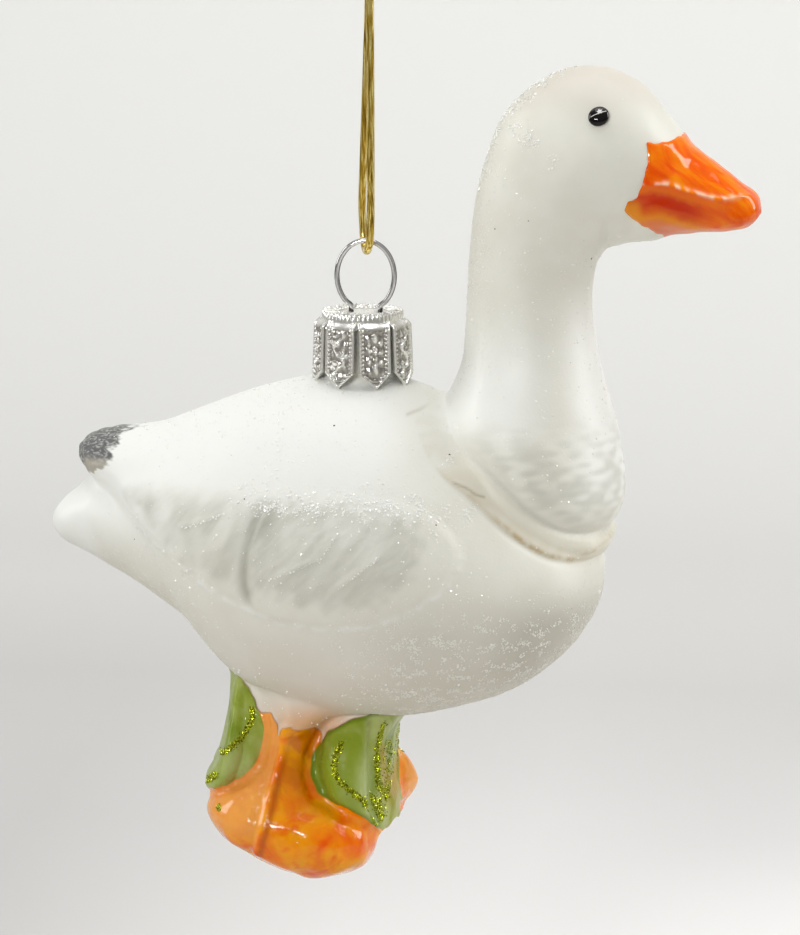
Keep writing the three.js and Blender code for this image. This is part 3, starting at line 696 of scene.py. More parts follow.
# Leaves lie over the feet with a lip, a fold and raised veins; the feet are lobed.
leaf_back = -off(LEAF_BACK_EDGE, 48)
leaf = np.maximum(off(LEAF_FRONT_EDGE, 48), leaf_back) + 0.12 * field(2.4, 21)
toe = (np.sum(np.abs((skin - TOE["centre"]) / TOE["radii"]) ** TOE["roundness"], axis=1)
       ** (1 / TOE["roundness"]))
leaf = np.where(y > 2, np.minimum(leaf, 4 * (toe - 1.08)), leaf)
leaf = np.minimum(leaf, 1.1 - off_stand)
ridge = off(FOOT_RIDGE, 32)
fold = off(LEAF_FOLD, 32)
bare = np.maximum(off(LEG_TOP) + 0.06 * field(1.2, 25), off_stand - 0.9)
on_leaf = ramp(leaf, -0.25, 0.35)
veins = np.max([bump(off(line, 24), 0.5) for line, _ in VEINS[:4]], axis=0)
lobe = bump(np.hypot((x + 5) / 6, (z + 78.2) / 4.6), 0.8)
side_lobe = bump(np.hypot((x + 16.4) / 3.6, (z + 75.6) / 3.6), 0.9)
relief_low = on_leaf * (0.12 + 0.24 * field(6.5, 22, (1, 1, 1.8)) + 0.2 * veins
                        - 0.55 * bump(fold, 0.55) * ramp(x, -1, 1))
relief_low += (1 - on_leaf) * (
    0.55 * lobe + 0.4 * side_lobe - 0.3 + 0.42 * bump(ridge - 0.2, 0.55)
    - 0.5 * bump(ridge + 0.8, 0.6) + 0.16 * field(4.4, 24) - 0.4 * bump(leaf + 0.5, 0.5)
    + 0.2 * bump(bare + 0.5, 0.5))
relief_low -= (0.95 * ramp(facing[:, 0], 0.1, 0.7) * ramp(z, -63.5, -67) * ramp(x, 1, 3)
               * (0.45 + 0.55 * ramp(z, -76.5, -74.5)) * ramp(toe, 1, 1.2))
relief = relief * (1 - on_stand) + relief_low * on_stand
skin = skin + facing * relief[:, None]
skin = smoothed(skin, edges, 1)
skin = smoothed(skin, edges, 4, only=on_stand)
normal = quad_normals(skin, quads)
x, y, z = skin.T
aside = np.abs(y)


# ---- white glass ----

def white_glass(made):
    """Satin white glass with grey feather strokes, a cream ribbon and grey wing tips, with painted
    light and shade over them.
    """
    pearl = made.blend(made.span(made.noise(0.006, 4), 0.3, 0.7), (236, 235, 224), (231, 229, 217))
    stroke = made.noise(0.0011, 3, stretch=(1, 1, 4), lean=48, twist=0.5)
    wide = made.noise(0.0026, 2, stretch=(1, 1, 3), lean=38, twist=0.8)
    shade = made.sum(made.span(stroke, 0.3, 0.7, -0.1, 0.1), made.span(wide, 0.3, 0.7, -0.14, 0.14))
    # The grey layer holds grey paint on the wing and crop, and painted shade by the ribbon and low
    # on the breast.
    grey = made.sum(made.layer("grey"), made.times(shade, made.layer("brushed")))
    # The whiter coat over the pearl is partly painted light.
    colour = made.blend(made.span(grey, 0, 1, soft=False),
                        made.coats(pearl, snow=(245, 246, 241)), (196, 195, 182))
    # Painted shadow along the ribbon's lower edge, and painted shade in its front folds.
    edging = made.times(made.layer("ribbon_edge"), made.span(made.noise(0.0012, 3), 0.3, 0.6))
    # The cream band is painted darker towards its lower edge and paler along its upper edge:
    # painted shade and light across it.
    cream = made.colours(made.span(made.wobbled("across", 0.0012, 0.3), -1.2, 1.15, soft=False),
                         (0, 206, 197, 172), (0.14, 220, 213, 194), (0.45, 228, 223, 205),
                         (0.7, 234, 230, 214), (1, 235, 233, 219))
    # The warm tint, the step coat and the ribbon's band carry painted shade as well as paint.
    return made.coats(colour, warm=(214, 203, 190), blush=(236, 176, 116), step=(138, 138, 120),
                      band=made.blend(edging, cream, (186, 160, 106)), stroke=(150, 132, 98))


white = Finish("white_satin_glass")
hair = white.noise(0.0004, 3, stretch=(2.4, 1, 1), lean=32)
charcoal = white.blend(white.span(hair, 0.42, 0.72), (98, 99, 98), (180, 180, 176))
charcoal = white.coats(charcoal, tips_low=(186, 180, 166))
bristle = white.noise(0.0008, 2, stretch=(3, 1, 1), lean=20)
tips = white.sum(white.layer("tips"), white.span(bristle, 0, 1, -0.9, 0.9, soft=False))
white.set(Base_Color=white.blend(white.span(tips, -0.3, 0.3), white_glass(white), charcoal),
          Roughness=white.span(white.noise(0.004), 0, 1, 0.4, 0.5), Specular_IOR_Level=0.45,
          Subsurface_Weight=0.1, Subsurface_Scale=0.0015, Subsurface_Radius=(1, 0.9, 0.75))
white.rough_up(white.times(white.layer("frost"), white.sum(
    white.cells(0.0004), white.noise(0.00042, 3, 0.6))), 0.000025)

# ---- enamel of the feet and leaves ----

enamel = Finish("foot_and_leaf_enamel")
patch = enamel.noise(0.0048, 3, 0.5, twist=0.9)
blot = enamel.noise(0.003, 3, 0.5, stretch=(1.6, 1, 1), lean=-30)
foot = enamel.colours(patch, (0.3, 244, 100, 0), (0.44, 250, 136, 0), (0.58, 254, 160, 0),
                      (0.72, 248, 166, 12))
foot = enamel.blend(enamel.span(blot, 0.56, 0.72, 0, 0.7), foot, (242, 74, 0))
shank = enamel.blend(enamel.span(patch, 0.4, 0.6), (222, 124, 0), (240, 156, 4))
foot = enamel.coats(foot, peach=(250, 170, 86), shank=shank, crease=(196, 92, 2))
wash = enamel.noise(0.0034, 2, 0.45, stretch=(1, 1, 2.4), lean=-24, twist=0.8)
green = enamel.colours(wash, (0.34, 130, 150, 34), (0.47, 154, 168, 68), (0.58, 172, 182, 104),
                       (0.72, 182, 190, 124))
green = enamel.coats(green, olive=(138, 156, 38), dark_green=(104, 130, 14),
                     pale_green=(184, 198, 134), ochre=(176, 140, 20))
coloured = enamel.blend(enamel.span(enamel.layer("leaf"), -0.08, 0.08), foot, green)
painted = enamel.span(enamel.layer("painted"), -0.12, 0.12)
gloss = enamel.layer("gloss")
enamel.set(Base_Color=enamel.blend(painted, white_glass(enamel), coloured),
           Roughness=enamel.span(gloss, 0, 0.6, 0.42, 0.13),
           Coat_Weight=enamel.span(gloss, 0, 1, soft=False), Coat_Roughness=0.03,
           Specular_IOR_Level=0.12, Subsurface_Weight=0.05, Subsurface_Scale=0.0015,
           Subsurface_Radius=(1, 0.6, 0.3))
enamel.rough_up(enamel.times(painted, enamel.noise(0.0024, 3, 0.45)), 0.0006)

# ---- paint, and painted light and shade: how strongly each tone lies at each point of the skin ----

oval = ramp(in_oval + 0.6 * field(2, 41), -0.8, 1.9)
rear = (ramp(in_wing + 0.6 * field(3, 42), 0.3, 3) * ramp(-off(WING_STEP, 32), -0.2, 1.2)
        * ramp(z, -30, -34) * (0.45 + 0.55 * ramp(0.6 + field(4.2, 43, (1, 1, 1.6)), 0, 1)))
crop = on_crop * ramp(z, -20, -28) * ramp(0.8 + field(1.9, 44, (2, 2, 0.8)), 0, 1.6)
on_flank = ramp(aside, 4, 9)
under = ramp(z, -44, -56) * ramp(x, -14, -12)
front_leaf = ramp(x, -9, -6)
over_bare = np.maximum(leaf, -bare)
# A whiter coat. Where it follows the skin's facing, up and forward, and on the neck and the rear,
# it is painted light.
snow = np.max([ramp(facing[:, 2], 0.05, 0.6) * ramp(x, 15, 1), ramp(x, -33, -38),
               ramp(x, -16, -28) * ramp(z, -44, -34),
               0.85 * uneven * bump(in_wing - 0.1, 0.5) * ramp(z, -38, -43) * ramp(aside, 5, 10),
               0.9 * ramp(z, -5, -17) * ramp(x, 29, 20) * ramp(x, 8, 12) * ramp(z, -27, -21),
               ramp(facing[:, 0], 0.3, 0.9) * ramp(z, -2, -14) * ramp(z, -37, -29)], axis=0)
paint = {
    "snow": snow,
    "grey": on_flank * np.maximum(0.57 * oval, 0.55 * rear) + 0.5 * crop
    # Painted shade: just above the ribbon's upper edge, low on the breast and at the breast's lower
    # right.
    + 0.4 * bump(across - 1.2, 0.25) * ramp(ribbon_at, 0.4, 0.5)
    + 0.45 * ramp(z, -42, -51) * ramp(x, 0, 10) + 0.75 * ramp(z, -41, -50) * ramp(x, 16, 26),
    "brushed": on_flank * np.maximum(oval, 0.8 * rear) + 0.35 * crop,
    # Painted shade: darker and warmer on the top of the head, under the belly and towards its
    # bottom; an orange tint above the legs.
    "warm": 0.5 * ramp(z, 17, 23) + 0.2 * under + 0.14 * ramp(z, -38, -50)
    + 0.3 * ramp(bare, 3.5, 0.5) * ramp(z, -58, -61),
    "blush": 0.8 * bump(np.hypot((x + 6) / 1.8, z + 63), 2.6),
    # Painted shade along the wing's step, where the front feathers overlap those behind.
    "step": 0.6 * bump(off_step + 0.1, 0.75 + bump(z + 33.4, 2.2)) * on_wing
    * ramp(z, -30.6, -32) * ramp(z, -46.5, -43.5)
    + 0.3 * bump(off_step - 1.4, 1.2) * on_wing * bump(z + 34.5, 3),
    "across": across,
    "band": ramp(np.abs(across), 1.12, 0.96) * (
        0.3 * ramp(ribbon_at, 0.24, 0.3) * ramp(0.7 + field(2.5, 46), 0, 1)
        + 0.65 * ramp(ribbon_at, 0.36, 0.44)),
    "stroke": on_flank * np.max([bump(off(line, 12), wide) * share
                                 for line, wide, share in STROKES], axis=0),
    # Painted shadow along the ribbon's lower edge, and painted shade in its front folds.
    "ribbon_edge": bump(across + 0.94, 0.17) * ramp(ribbon_at, 0.36, 0.4)
    * (0.15 + 0.75 * ramp(ribbon_at, 0.56, 0.6) * ramp(ribbon_at, 0.82, 0.76))
    + 0.35 * front_folds * ramp(np.abs(across), 1.1, 0.8),
    "tips": -off_tips * ramp(x, -25, -27) - 4 * ramp(x, -27, -25) - 4 * ramp(z, -31.2, -32.6),
    "tips_low": 0.85 * ramp(z, -28.4, -29.6) * ramp(x, -38.4, -37),
    "frost": 0.6 * ramp(z, 6, -4) * (0.3 + 0.7 * ramp(normal[:, 2], -0.2, 0.9))
    * ramp(x, -30, -24),
    "leaf": leaf, "painted": over_bare,
    "gloss": ramp(over_bare, -0.12, 0.12) * (0.6 - 0.42 * ramp(leaf, -0.1, 0.1)),
    "olive": 0.35 * ramp(x, -9, -11)
    + 0.85 * ramp(3.2 + 0.8 * field(3, 45) - leaf, 0, 2.2) * front_leaf * ramp(x, 2.2, 0.6),
    "peach": 0.8 * ramp(ridge, 0.4, -0.8) * ramp(z, -80, -76)
    + 0.9 * ramp(x, 4, 4.9) * ramp(z, -79, -77),
    "shank": ramp(z, -73.5, -70) * ramp(ridge, 0.5, 1.2),
    "crease": 0.8 * bump(ridge - 0.9, 0.45) * ramp(z, -66, -69) * (leaf < 0),
    "dark_green": 0.85 * np.maximum(
        ramp(leaf, 0.8, 0.1) * front_leaf * ramp(x, 3.4, 1.4),
        ramp(leaf_back, 5.2, 3.4) * ramp(x, -10, -12) * ramp(leaf_back, 3, 4.4)),
    "pale_green": 0.6 * bump(np.hypot((x - 1.3) / 1.3, (z + 70.4) / 3.8), 0.8)
    + 0.25 * ramp(x, -9, -11) * ramp(z, -64, -70),
    "ochre": 0.8 * bump(fold - 1.1, 0.4) * ramp(z, -66, -68) * ramp(x, 1, 2)}

# The two parts of the skin keep the normals of the whole, so no seam shows between them.
low = off_stand[quads].min(1) < STAND_REACH
for name, faces, finish, slot, nodes in (
        ("goose_skin", quads[~low], white, "white_glass",
         ["trunk", "neck", "head", "tail", "wing_left", "wing_right", "neck_ribbon", "wing_tips",
          "glass_stub"]),
        ("legs_feet_and_leaves", quads[low], enamel, "foot_enamel",
         ["leg_left", "leg_right", "foot_left", "foot_right", "leaf_back", "leaf_front"])):
    part, used = cut_piece(name, skin, faces, finish, slot, nodes, paint)
    part.data.normals_split_custom_set_from_vertices(normal[used].tolist())

# ---- the bill: thick glossy enamel over the end of the head ----

BILL_AROUND, BILL_RINGS = 220, 200
BILL_START = 0.5 - 0.5 / (BILL_RINGS - 1)  # as a share of the length of the neck and head
BILL_CUT = -1.4  # how far under the head's paint its enamel reaches
bill, bill_faces = loft(NECK, BILL_AROUND, BILL_RINGS, NECK_SAG, BILL_START)
bill_normal = quad_normals(bill, np.array(bill_faces[BILL_AROUND:-BILL_AROUND]))
bill_normal[-1] = (1, 0, 0)
bx, _, bz = bill.T
off_edge = from_line(bx, bz, BILL_EDGE)[0] + 0.16 * waves(bill, 1.9, 12)
off_gape = from_line(bx, bz, smooth_line(GAPE, 48))[0] + 0.12 * waves(bill, 6, 15)
sideways = ramp(np.abs(bill_normal[:, 1]), 0.2, 0.6) * ramp(bx, 52.2, 49.7)
lift = -0.9 + 1.05 * ramp(off_edge, -0.6, 0.25)
lift += ramp(off_edge, 0, 1.5) * (
    sideways * (0.36 * bump(off_gape - 0.1, 0.34) - 0.3 * bump(off_gape + 1.6, 1.1)
                + 0.2 * bump(off_gape + 4, 1.2) - 0.14 * bump(off_gape - 2.6, 1.6))
    + 0.06 * waves(bill, 3, 13))
lift -= 0.25 * ramp(bill_normal[:, 2], -0.35, -0.85)
bill = bill + bill_normal * lift[:, None]

orange = Finish("bill_enamel")
brush = orange.noise(0.0016, 4, stretch=(3.5, 1, 1), lean=38, twist=0.5)
upper = orange.colours(brush, (0.3, 240, 82, 0), (0.48, 252, 110, 0), (0.66, 255, 143, 0))
# Painted highlight along the gape ridge.
upper = orange.coats(upper, crest=(255, 226, 196))
below = orange.colours(orange.span(orange.wobbled("gape", 0.0016, 0.9), -6.4, 0, soft=False),
                       (0, 230, 124, 78), (0.2, 234, 126, 60), (0.34, 240, 140, 10),
                       (0.46, 226, 96, 0), (0.6, 210, 48, 0), (0.76, 216, 58, 0),
                       (0.88, 238, 110, 0), (1, 249, 104, 0))
below = orange.coats(below, lobe=(240, 156, 30), nose=upper)
orange.set(Base_Color=orange.blend(orange.span(orange.layer("gape"), -0.15, 0.25), below, upper),
           Roughness=0.3, Coat_Weight=0.6, Coat_Roughness=0.02, Specular_IOR_Level=0.02,
           Subsurface_Weight=0.04, Subsurface_Scale=0.001, Subsurface_Radius=(1, 0.4, 0.15))
orange.rough_up(orange.noise(0.0022, 2), 0.0002)
cut_piece("bill", bill, [face for face in bill_faces if (off_edge[list(face)] > BILL_CUT).all()],
          orange, "bill_enamel", ["bill_upper", "bill_lower"],
          {"gape": off_gape, "nose": 0.85 * ramp(bx, 43, 47.5),
           "lobe": 0.75 * ramp(38.4 - bx + 0.5 * waves(bill, 2.2, 48), 0, 2.6)
           * ramp(bz, 8.2, 6.4),
           # Painted highlight along the gape ridge, broken into dashes.
           "crest": 0.8 * bump(off_gape - 0.25, 0.32) * ramp(bx, 51, 48)
           * ramp(waves(bill, 2.6, 16, (0.6, 0.6, 1.6)), -0.7, 0.3)})

# ---- eyes: black enamel drops, each with a painted glint ----

eye_black = Finish("eye_enamel")
eye_black.set(Base_Color=eye_black.blend(eye_black.span(eye_black.layer("glint"), 0.35, 0.65),
                                         (14, 10, 10), (236, 234, 228)),
              Roughness=eye_black.span(eye_black.noise(0.0004), 0, 1, 0.05, 0.12),
              Coat_Weight=0.5, Coat_Roughness=0.03, Specular_IOR_Level=0.15)
for side, word in SIDES.items():
    ball, faces = ellipsoid((0, 0, 0), (1, 1, 1), 96, 64)
    u, v, w = ball.T
    # The glint is painted highlight: a spot and a thin line across the eye.
    spot = bump(np.hypot(u - 0.08, w - 0.3) + 0.06 * np.cos(5 * np.arctan2(w - 0.3, u - 0.08)),
                0.26)
    scratch = bump(w - 0.1 - 0.42 * u, 0.045) * ramp(np.abs(u), 0.86, 0.66)
    glint = np.maximum(spot, scratch) * (v * side > 0)
    wide = EYE["radius"] * (1 + 0.05 * np.cos(2 * np.arctan2(w, u) - 0.9))
    out, rise = EYE["bulge"] * v, 1.06 * wide * w
    lean = side * EYE["tilt"]
    ball = np.stack([wide * u, out * math.cos(lean) - rise * math.sin(lean),
                     out * math.sin(lean) + rise * math.cos(lean)], 1)
    piece("eye_drop_" + word, ball + (EYE["x"], side * EYE["y"], EYE["z"]), faces, eye_black,
          "eye_enamel", ["eye_" + word], {"glint": glint})

# ---- the stamped cap ----

silver = Finish("stamped_metal")
tarnish = silver.noise(0.0009, 3)
bright = silver.blend(silver.span(tarnish, 0.3, 0.7), (252, 251, 247), (238, 237, 230))
# Painted shade: the cap is darker in its holes, its recesses and on the prongs' inner faces.
worn = silver.blend(silver.span(silver.layer("soil"), 0.5, 0.9), (146, 138, 126), (58, 51, 44))
silver.set(Base_Color=silver.coats(bright, soil=worn), Metallic=0.7,
           Roughness=silver.span(tarnish, 0, 1, 0.14, 0.26))
silver.rough_up(silver.noise(0.0003, 2), 0.00002)

CROWN = [(0, -9.2), (3, -9.2), (3.3, -9.1), (4.9, -8.95), (5.25, -9.1), (5.45, -9.6),
         (5.5, -10.3), (5.45, -10.8), (5.25, -10.8), (5.2, -9.9), (4.8, -9.5), (3.2, -9.55),
         (0, -9.6)]
CROWN_SHOWS = 0.598  # the share of that outline that lies outside
TEETH, HOLES, BEADS = 54, 17, 36
PRONGS = 8
PRONG = {"top": -9.9, "shoulder": -16.7, "tip": -18.7, "thick": 0.28, "gap": 0.3}
PRONG_LEANS = (0.35, -0.1, 0, 0.25, -0.3, 0.1, 0.2, -0.2)  # how far each tip is bent aside


def crown():
    """The cap's round top with its pierced-looking border and scalloped rim."""
    around, rings = 432, 120
    t, turn = wrapped(around, rings)
    radius, height = catmull(CROWN, t).T
    top = t < CROWN_SHOWS
    teeth = 0.5 + 0.5 * np.cos(TEETH * turn)
    hole = bump(radius - 4.3, 0.6) * ramp(np.cos(HOLES * turn + 1.6 * (radius - 4.3)), -0.2, 0.2)
    beads = bump(radius - 3.4, 0.2) * (0.5 + 0.5 * np.cos(BEADS * turn))
    rim = bump(radius - 5.25, 0.22)
    height = height + top * (0.18 * beads - 0.6 * hole + 0.24 * rim * teeth
                             + 0.08 * bump(radius - 2, 0.5) * np.cos(14 * turn))
    height -= 0.34 * ramp(height, -10.2, -10.6) * teeth
    radius = radius + 0.1 * rim * teeth * top
    points = np.stack([radius * np.cos(turn), radius * np.sin(turn), height], 1)
    # Painted shade in the holes and in a ring inside the beads.
    soil = np.concatenate([[0], top * (hole + 0.5 * bump(radius - 3, 0.25)), [0]])
    middle = [(0, 0, CROWN[end][1]) for end in (0, -1)]
    return np.vstack([middle[0], points, middle[1]]), ball_faces(around, rings), soil


def flower(a, drop, petals=5):
    """A small embossed flower at a = 0 and drop = 0."""
    far, angle = np.hypot(a, drop), np.arctan2(drop, a)
    return bump(far - 0.6, 0.2) * (0.5 + 0.5 * np.cos(petals * angle)) + bump(far, 0.2)


def prong(number):
    """One pointed prong, embossed with a rim, a row of beads and a flower or a scroll."""
    down, wide, inner = 120, 64, 8
    height = np.linspace(PRONG["top"], PRONG["tip"], down)[:, None]
    drop = PRONG["top"] - height
    radius = 5.3 + 0.85 * ramp(drop, -0.2, 1) + 0.35 * drop / drop[-1]
    taper = np.clip((height - PRONG["tip"]) / (PRONG["shoulder"] - PRONG["tip"]), 0.02, 1)
    half = taper * (6.3 * math.pi / PRONGS - PRONG["gap"])
    a = half * np.linspace(-1, 1, wide)
    edge = np.minimum(half - np.abs(a), (height - PRONG["tip"]) * 0.7)
    beads = 0.5 + 0.5 * np.cos(2 * math.pi * drop / 0.55)
    if number % 2:
        scroll = bump(a - 0.7 * np.sin(2 * math.pi * (drop - 0.8) / 3.6), 0.2)
        figure = scroll + sum(flower(a + way * far, drop - low, 4)
                              for way, far, low in ((1, 0.6, 2.6), (-1, 0.6, 4.4), (1, 0.55, 6.2)))
    else:
        figure = (flower(a, drop - 4.1) + bump(np.hypot(a, drop - 2), 0.42)
                  + bump(np.hypot(a, drop - 6), 0.4)
                  + sum(bump(np.hypot(np.abs(a) - 0.75, drop - low), 0.25) for low in (2.9, 5.3)))
    dents = np.sin(3.3 * a + 2.1 * drop + number) * np.sin(2.3 * drop - 3.8 * a + 2 * number)
    panel = ramp(edge, 0.7, 0.95) * ramp(drop, 0.8, 1.3)
    raised = (bump(edge - 0.16, 0.15) + 0.8 * beads * bump(edge - 0.58, 0.16)
              + panel * (np.minimum(figure, 1.1) + 0.4 * dents))
    # Painted shade in the recesses between the embossing; the inner faces are half dark.
    dark = ramp(edge, 0.28, 0.45) * ramp(raised, 0.5, 0.15) * ramp(drop, 0.5, 1.2)
    reach = np.hstack([radius + 0.34 * raised + 0.03,
                       np.repeat(radius - PRONG["thick"], inner, 1)])
    angle = np.hstack([a, half * np.linspace(1, -1, inner)]) + PRONG_LEANS[number] * (1 - taper)
    angle = angle / radius + (number + 0.5) * 2 * math.pi / PRONGS
    points = np.stack([reach * np.cos(angle), reach * np.sin(angle),
                       np.repeat(height, wide + inner, 1)], 2)
    soil = np.hstack([0.7 * dark, np.full((down, inner), 0.5)])
    return (points.reshape(-1, 3), [face[::-1] for face in bar_faces(wide + inner, down)],
            soil.ravel())


stamped = [crown(), *map(prong, range(PRONGS))]
cap_points, cap_faces = joined([part[:2] for part in stamped])
piece("stamped_cap", cap_points + (STUB["x"], 0, 0), cap_faces, silver, "stamped_metal", ["cap"],
      {"soil": np.concatenate([part[2] for part in stamped])})

# ---- the spring-wire ring ----

WIRE = 0.7
LOOP = {"across": 3.87, "tall": 4.72, "opens": -60, "step": 15}
LEG = {"spread": 1.95, "through": -8.9, "end": -9.8}
legs = [[(way * LEG["spread"], 0, LEG[at]) for at in ("end", "through")] for way in (1, -1)]
arc = [(LOOP["across"] * math.cos(math.radians(a)), 0,
        WIRE / 2 - LOOP["tall"] + LOOP["tall"] * math.sin(math.radians(a)))
       for a in range(LOOP["opens"], 181 - LOOP["opens"], LOOP["step"])]
chrome = Finish("ring_wire")
drawn = chrome.noise(0.0006, 2, stretch=(1, 1, 5))
wire = chrome.blend(drawn, (230, 229, 228), (246, 245, 244))
# Dark along the wire's edges: painted shade.
chrome.set(Base_Color=chrome.coats(wire, dull=(44, 41, 37)), Metallic=0.8,
           Roughness=chrome.span(drawn, 0, 1, 0.06, 0.14))
bent, faces = tube(smooth_line([*legs[0], *arc, *legs[1][::-1]], 260), WIRE / 2, 24)
# Painted shade: the wire is darker along its inner and outer edges as seen from the side.
off_centre = np.hypot(bent[:, 0] / LOOP["across"],
                      (bent[:, 2] + LOOP["tall"] - WIRE / 2) / LOOP["tall"])
piece("wire_ring", bent, faces, chrome, "ring_wire", ["hanger_ring"],
      {"dull": 0.95 * ramp(np.abs(off_centre - 1), 0.045, 0.078)})

# ---- glitter, specks and grains ----

rng = np.random.default_rng(11)
RAY = 80  # how far aside of the mid-plane rays start that look for the skin
LIT = np.array([0, -0.6, 1.2])  # most grains that are seen turn a face to the light
# A crystal has four points round it and two peaks; CRYSTAL_UV is its patch on the OFBake map.
CRYSTAL = np.array([(0, 1, 4), (1, 2, 4), (2, 3, 4), (3, 0, 4),
                    (1, 0, 5), (2, 1, 5), (3, 2, 5), (0, 3, 5)])
CRYSTAL_UV = np.array([(1, 0), (0, 1), (-1, 0), (0, -1), (0, 0), (0, 0)]) * 0.0015
BOX = {"corner": (-45, -25, -90), "size": 115}  # it holds the whole skin


def box_unwrap(points, normals):
    """Where points lie on an unwrap of the skin by its six facing sides."""
    places = (points - BOX["corner"]) / BOX["size"] * 0.96 + 0.02  # with a margin between sides
    row = np.arange(len(points))
    axis = np.abs(normals).argmax(1)
    first, second = np.array([(1, 2), (0, 2), (0, 1)])[axis].T
    return np.stack([(axis + places[row, first]) / 3,
                     ((normals[row, axis] > 0) + places[row, second]) / 2], 1)


def grains(name, roots, normals, sizes, tilt, flat, finish, slot):
    """Tiny flattened crystals standing on their roots, each leaning its own way."""
    lean = normals + rng.normal(size=roots.shape) * tilt + LIT * tilt
    lean /= np.linalg.norm(lean, axis=1)[:, None]
    side = np.cross(lean, rng.normal(size=roots.shape))
    side /= np.linalg.norm(side, axis=1)[:, None]
    other = np.cross(lean, side)
    turns = np.array([0, 0.9, 2, 2.7]) * math.pi / 2 * 1.1
    rim = [roots + sizes[:, None] * (math.cos(a) * side + math.sin(a) * other) for a in turns]
    peaks = [roots + way * lean * (sizes * flat)[:, None] for way in (1, -1)]
    points = np.stack(rim + peaks, 1).reshape(-1, 3)
    faces = (CRYSTAL + 6 * np.arange(len(roots))[:, None, None]).reshape(-1, 3)
    made = piece(name, points, faces, finish, slot, smooth=False)
    uv = (box_unwrap(roots, normals)[:, None] + CRYSTAL_UV).reshape(-1, 2)
    layer = made.data.uv_layers.new(name="OFBake")
    layer.data.foreach_set("uv", uv[faces.ravel()].astype(np.float32).ravel())


def scattered(weight, count):
    """Random places on the skin, more of them where weight is large, and a point near each."""
    corner = skin[quads]
    area = np.linalg.norm(np.cross(corner[:, 2] - corner[:, 0], corner[:, 3] - corner[:, 1]),
                          axis=1) / 2
    chance = area * weight[quads].mean(1)
    pick = rng.choice(len(quads), count, p=chance / chance.sum())
    u, w = rng.random((2, count, 1))
    c = corner[pick]
    return (c[:, 0] * (1 - u) * (1 - w) + c[:, 1] * u * (1 - w) + c[:, 2] * u * w
            + c[:, 3] * (1 - u) * w), quads[pick, 0]


skin_tree = BVHTree.FromPolygons((skin * MM).tolist(), quads.tolist())


def on_side(places, side):
    """The places drawn in the side view, put on the skin from that side, and its normals."""
    hits = [skin_tree.ray_cast(Vector((px * MM, side * RAY * MM, pz * MM)), Vector((0, -side, 0)))
            for px, pz in places]
    hits = [(np.array(spot) / MM, np.array(way)) for spot, way, _, _ in hits if spot is not None]
    return np.array(hits).reshape(-1, 2, 3).transpose(1, 0, 2)


def strewn(lines, spread, even=False):
    """Places beside lines of the side view, each with its count, on both sides of the skin."""
    found = []
    for side in SIDES:
        for line, count in lines:
            t = np.linspace(0, 1, count) if even else rng.random(count)
            beside = catmull(line, t) + rng.normal(size=(count, 2)) * spread
            found.append(on_side(beside, side))
    return np.concatenate(found, 1)


# Clear glitter: fine dust all over, and bolder grains along the top of the wing, the back of
# the head and in clumps.
clear = (ramp(off_bill, -0.4, -1.4) * ramp(over_bare, 0, -0.6)
         * (1 - 0.9 * ramp(off_tips, 0.5, -0.5) * (x < -27)) * ramp(x, -41, -30))
on_band = bump(off(SHINE) - 0.2, 1.5) * ramp(x, -18, -8) * ramp(x, 16, 12) * on_flank
knots = ramp(field(2.2, 31) + 0.5 * field(1.1, 32), 0, 0.9)
dust = (0.12 + 0.25 * knots + 5.5 * on_band * (0.2 + knots)
        + bump(off(DUST_LINE), 1.6) * ramp(z, -33, -31)
        + 0.9 * ramp(x, 20, 15) * ramp(z, -24, -8) * (0.3 + knots)
        + 2.4 * bump(in_wing, 0.5) * ramp(z, -34, -38) * knots
        + 0.5 * ramp(z, -34, -12) * ramp(x, 16, 20) * ramp(z, 2, -2))
on_face = ramp(z, 2, 8) * ramp(x, 20, 26)
head_rim = ramp(normal @ (-0.7, 0, 0.7), 0.75, 0.95) * ramp(z, -6, 4) * ramp(x, 34, 26)
clumps = np.max([bump(np.hypot(x - px, z - pz), wide) for px, pz, wide in CLUMPS], axis=0)
bold = (on_band * (0.1 + knots) + 0.7 * head_rim * (0.2 + knots)
        + 0.6 * clumps * ramp(aside, 2, 5))
fine_places, fine_near = scattered(dust * clear * (1 - 0.9 * on_face), GRAINS["fine"])
bold_places, bold_near = scattered(bold * clear, GRAINS["bold"])
quill_places, quill_ways = strewn([(line, GRAINS["quill"]) for line in QUILLS], 0.1, even=True)
places = np.vstack([fine_places, bold_places, quill_places])
ways = np.vstack([normal[fine_near], normal[bold_near], quill_ways])
larger = np.repeat((0, 0.05, 0), (len(fine_places), len(bold_places), len(quill_places)))
sizes = 0.045 + 0.15 * rng.random(len(places)) ** 4 + larger
glitter = Finish("clear_glitter")
glitter.set(Base_Color=glitter.blend(glitter.noise(0.002), (255, 255, 250), (252, 252, 248)),
            Roughness=0.12, Coat_Weight=1, Coat_Roughness=0.02)
grains("glitter", places + ways * 0.05, ways, sizes, 0.4, 0.3, glitter, "white_glass")

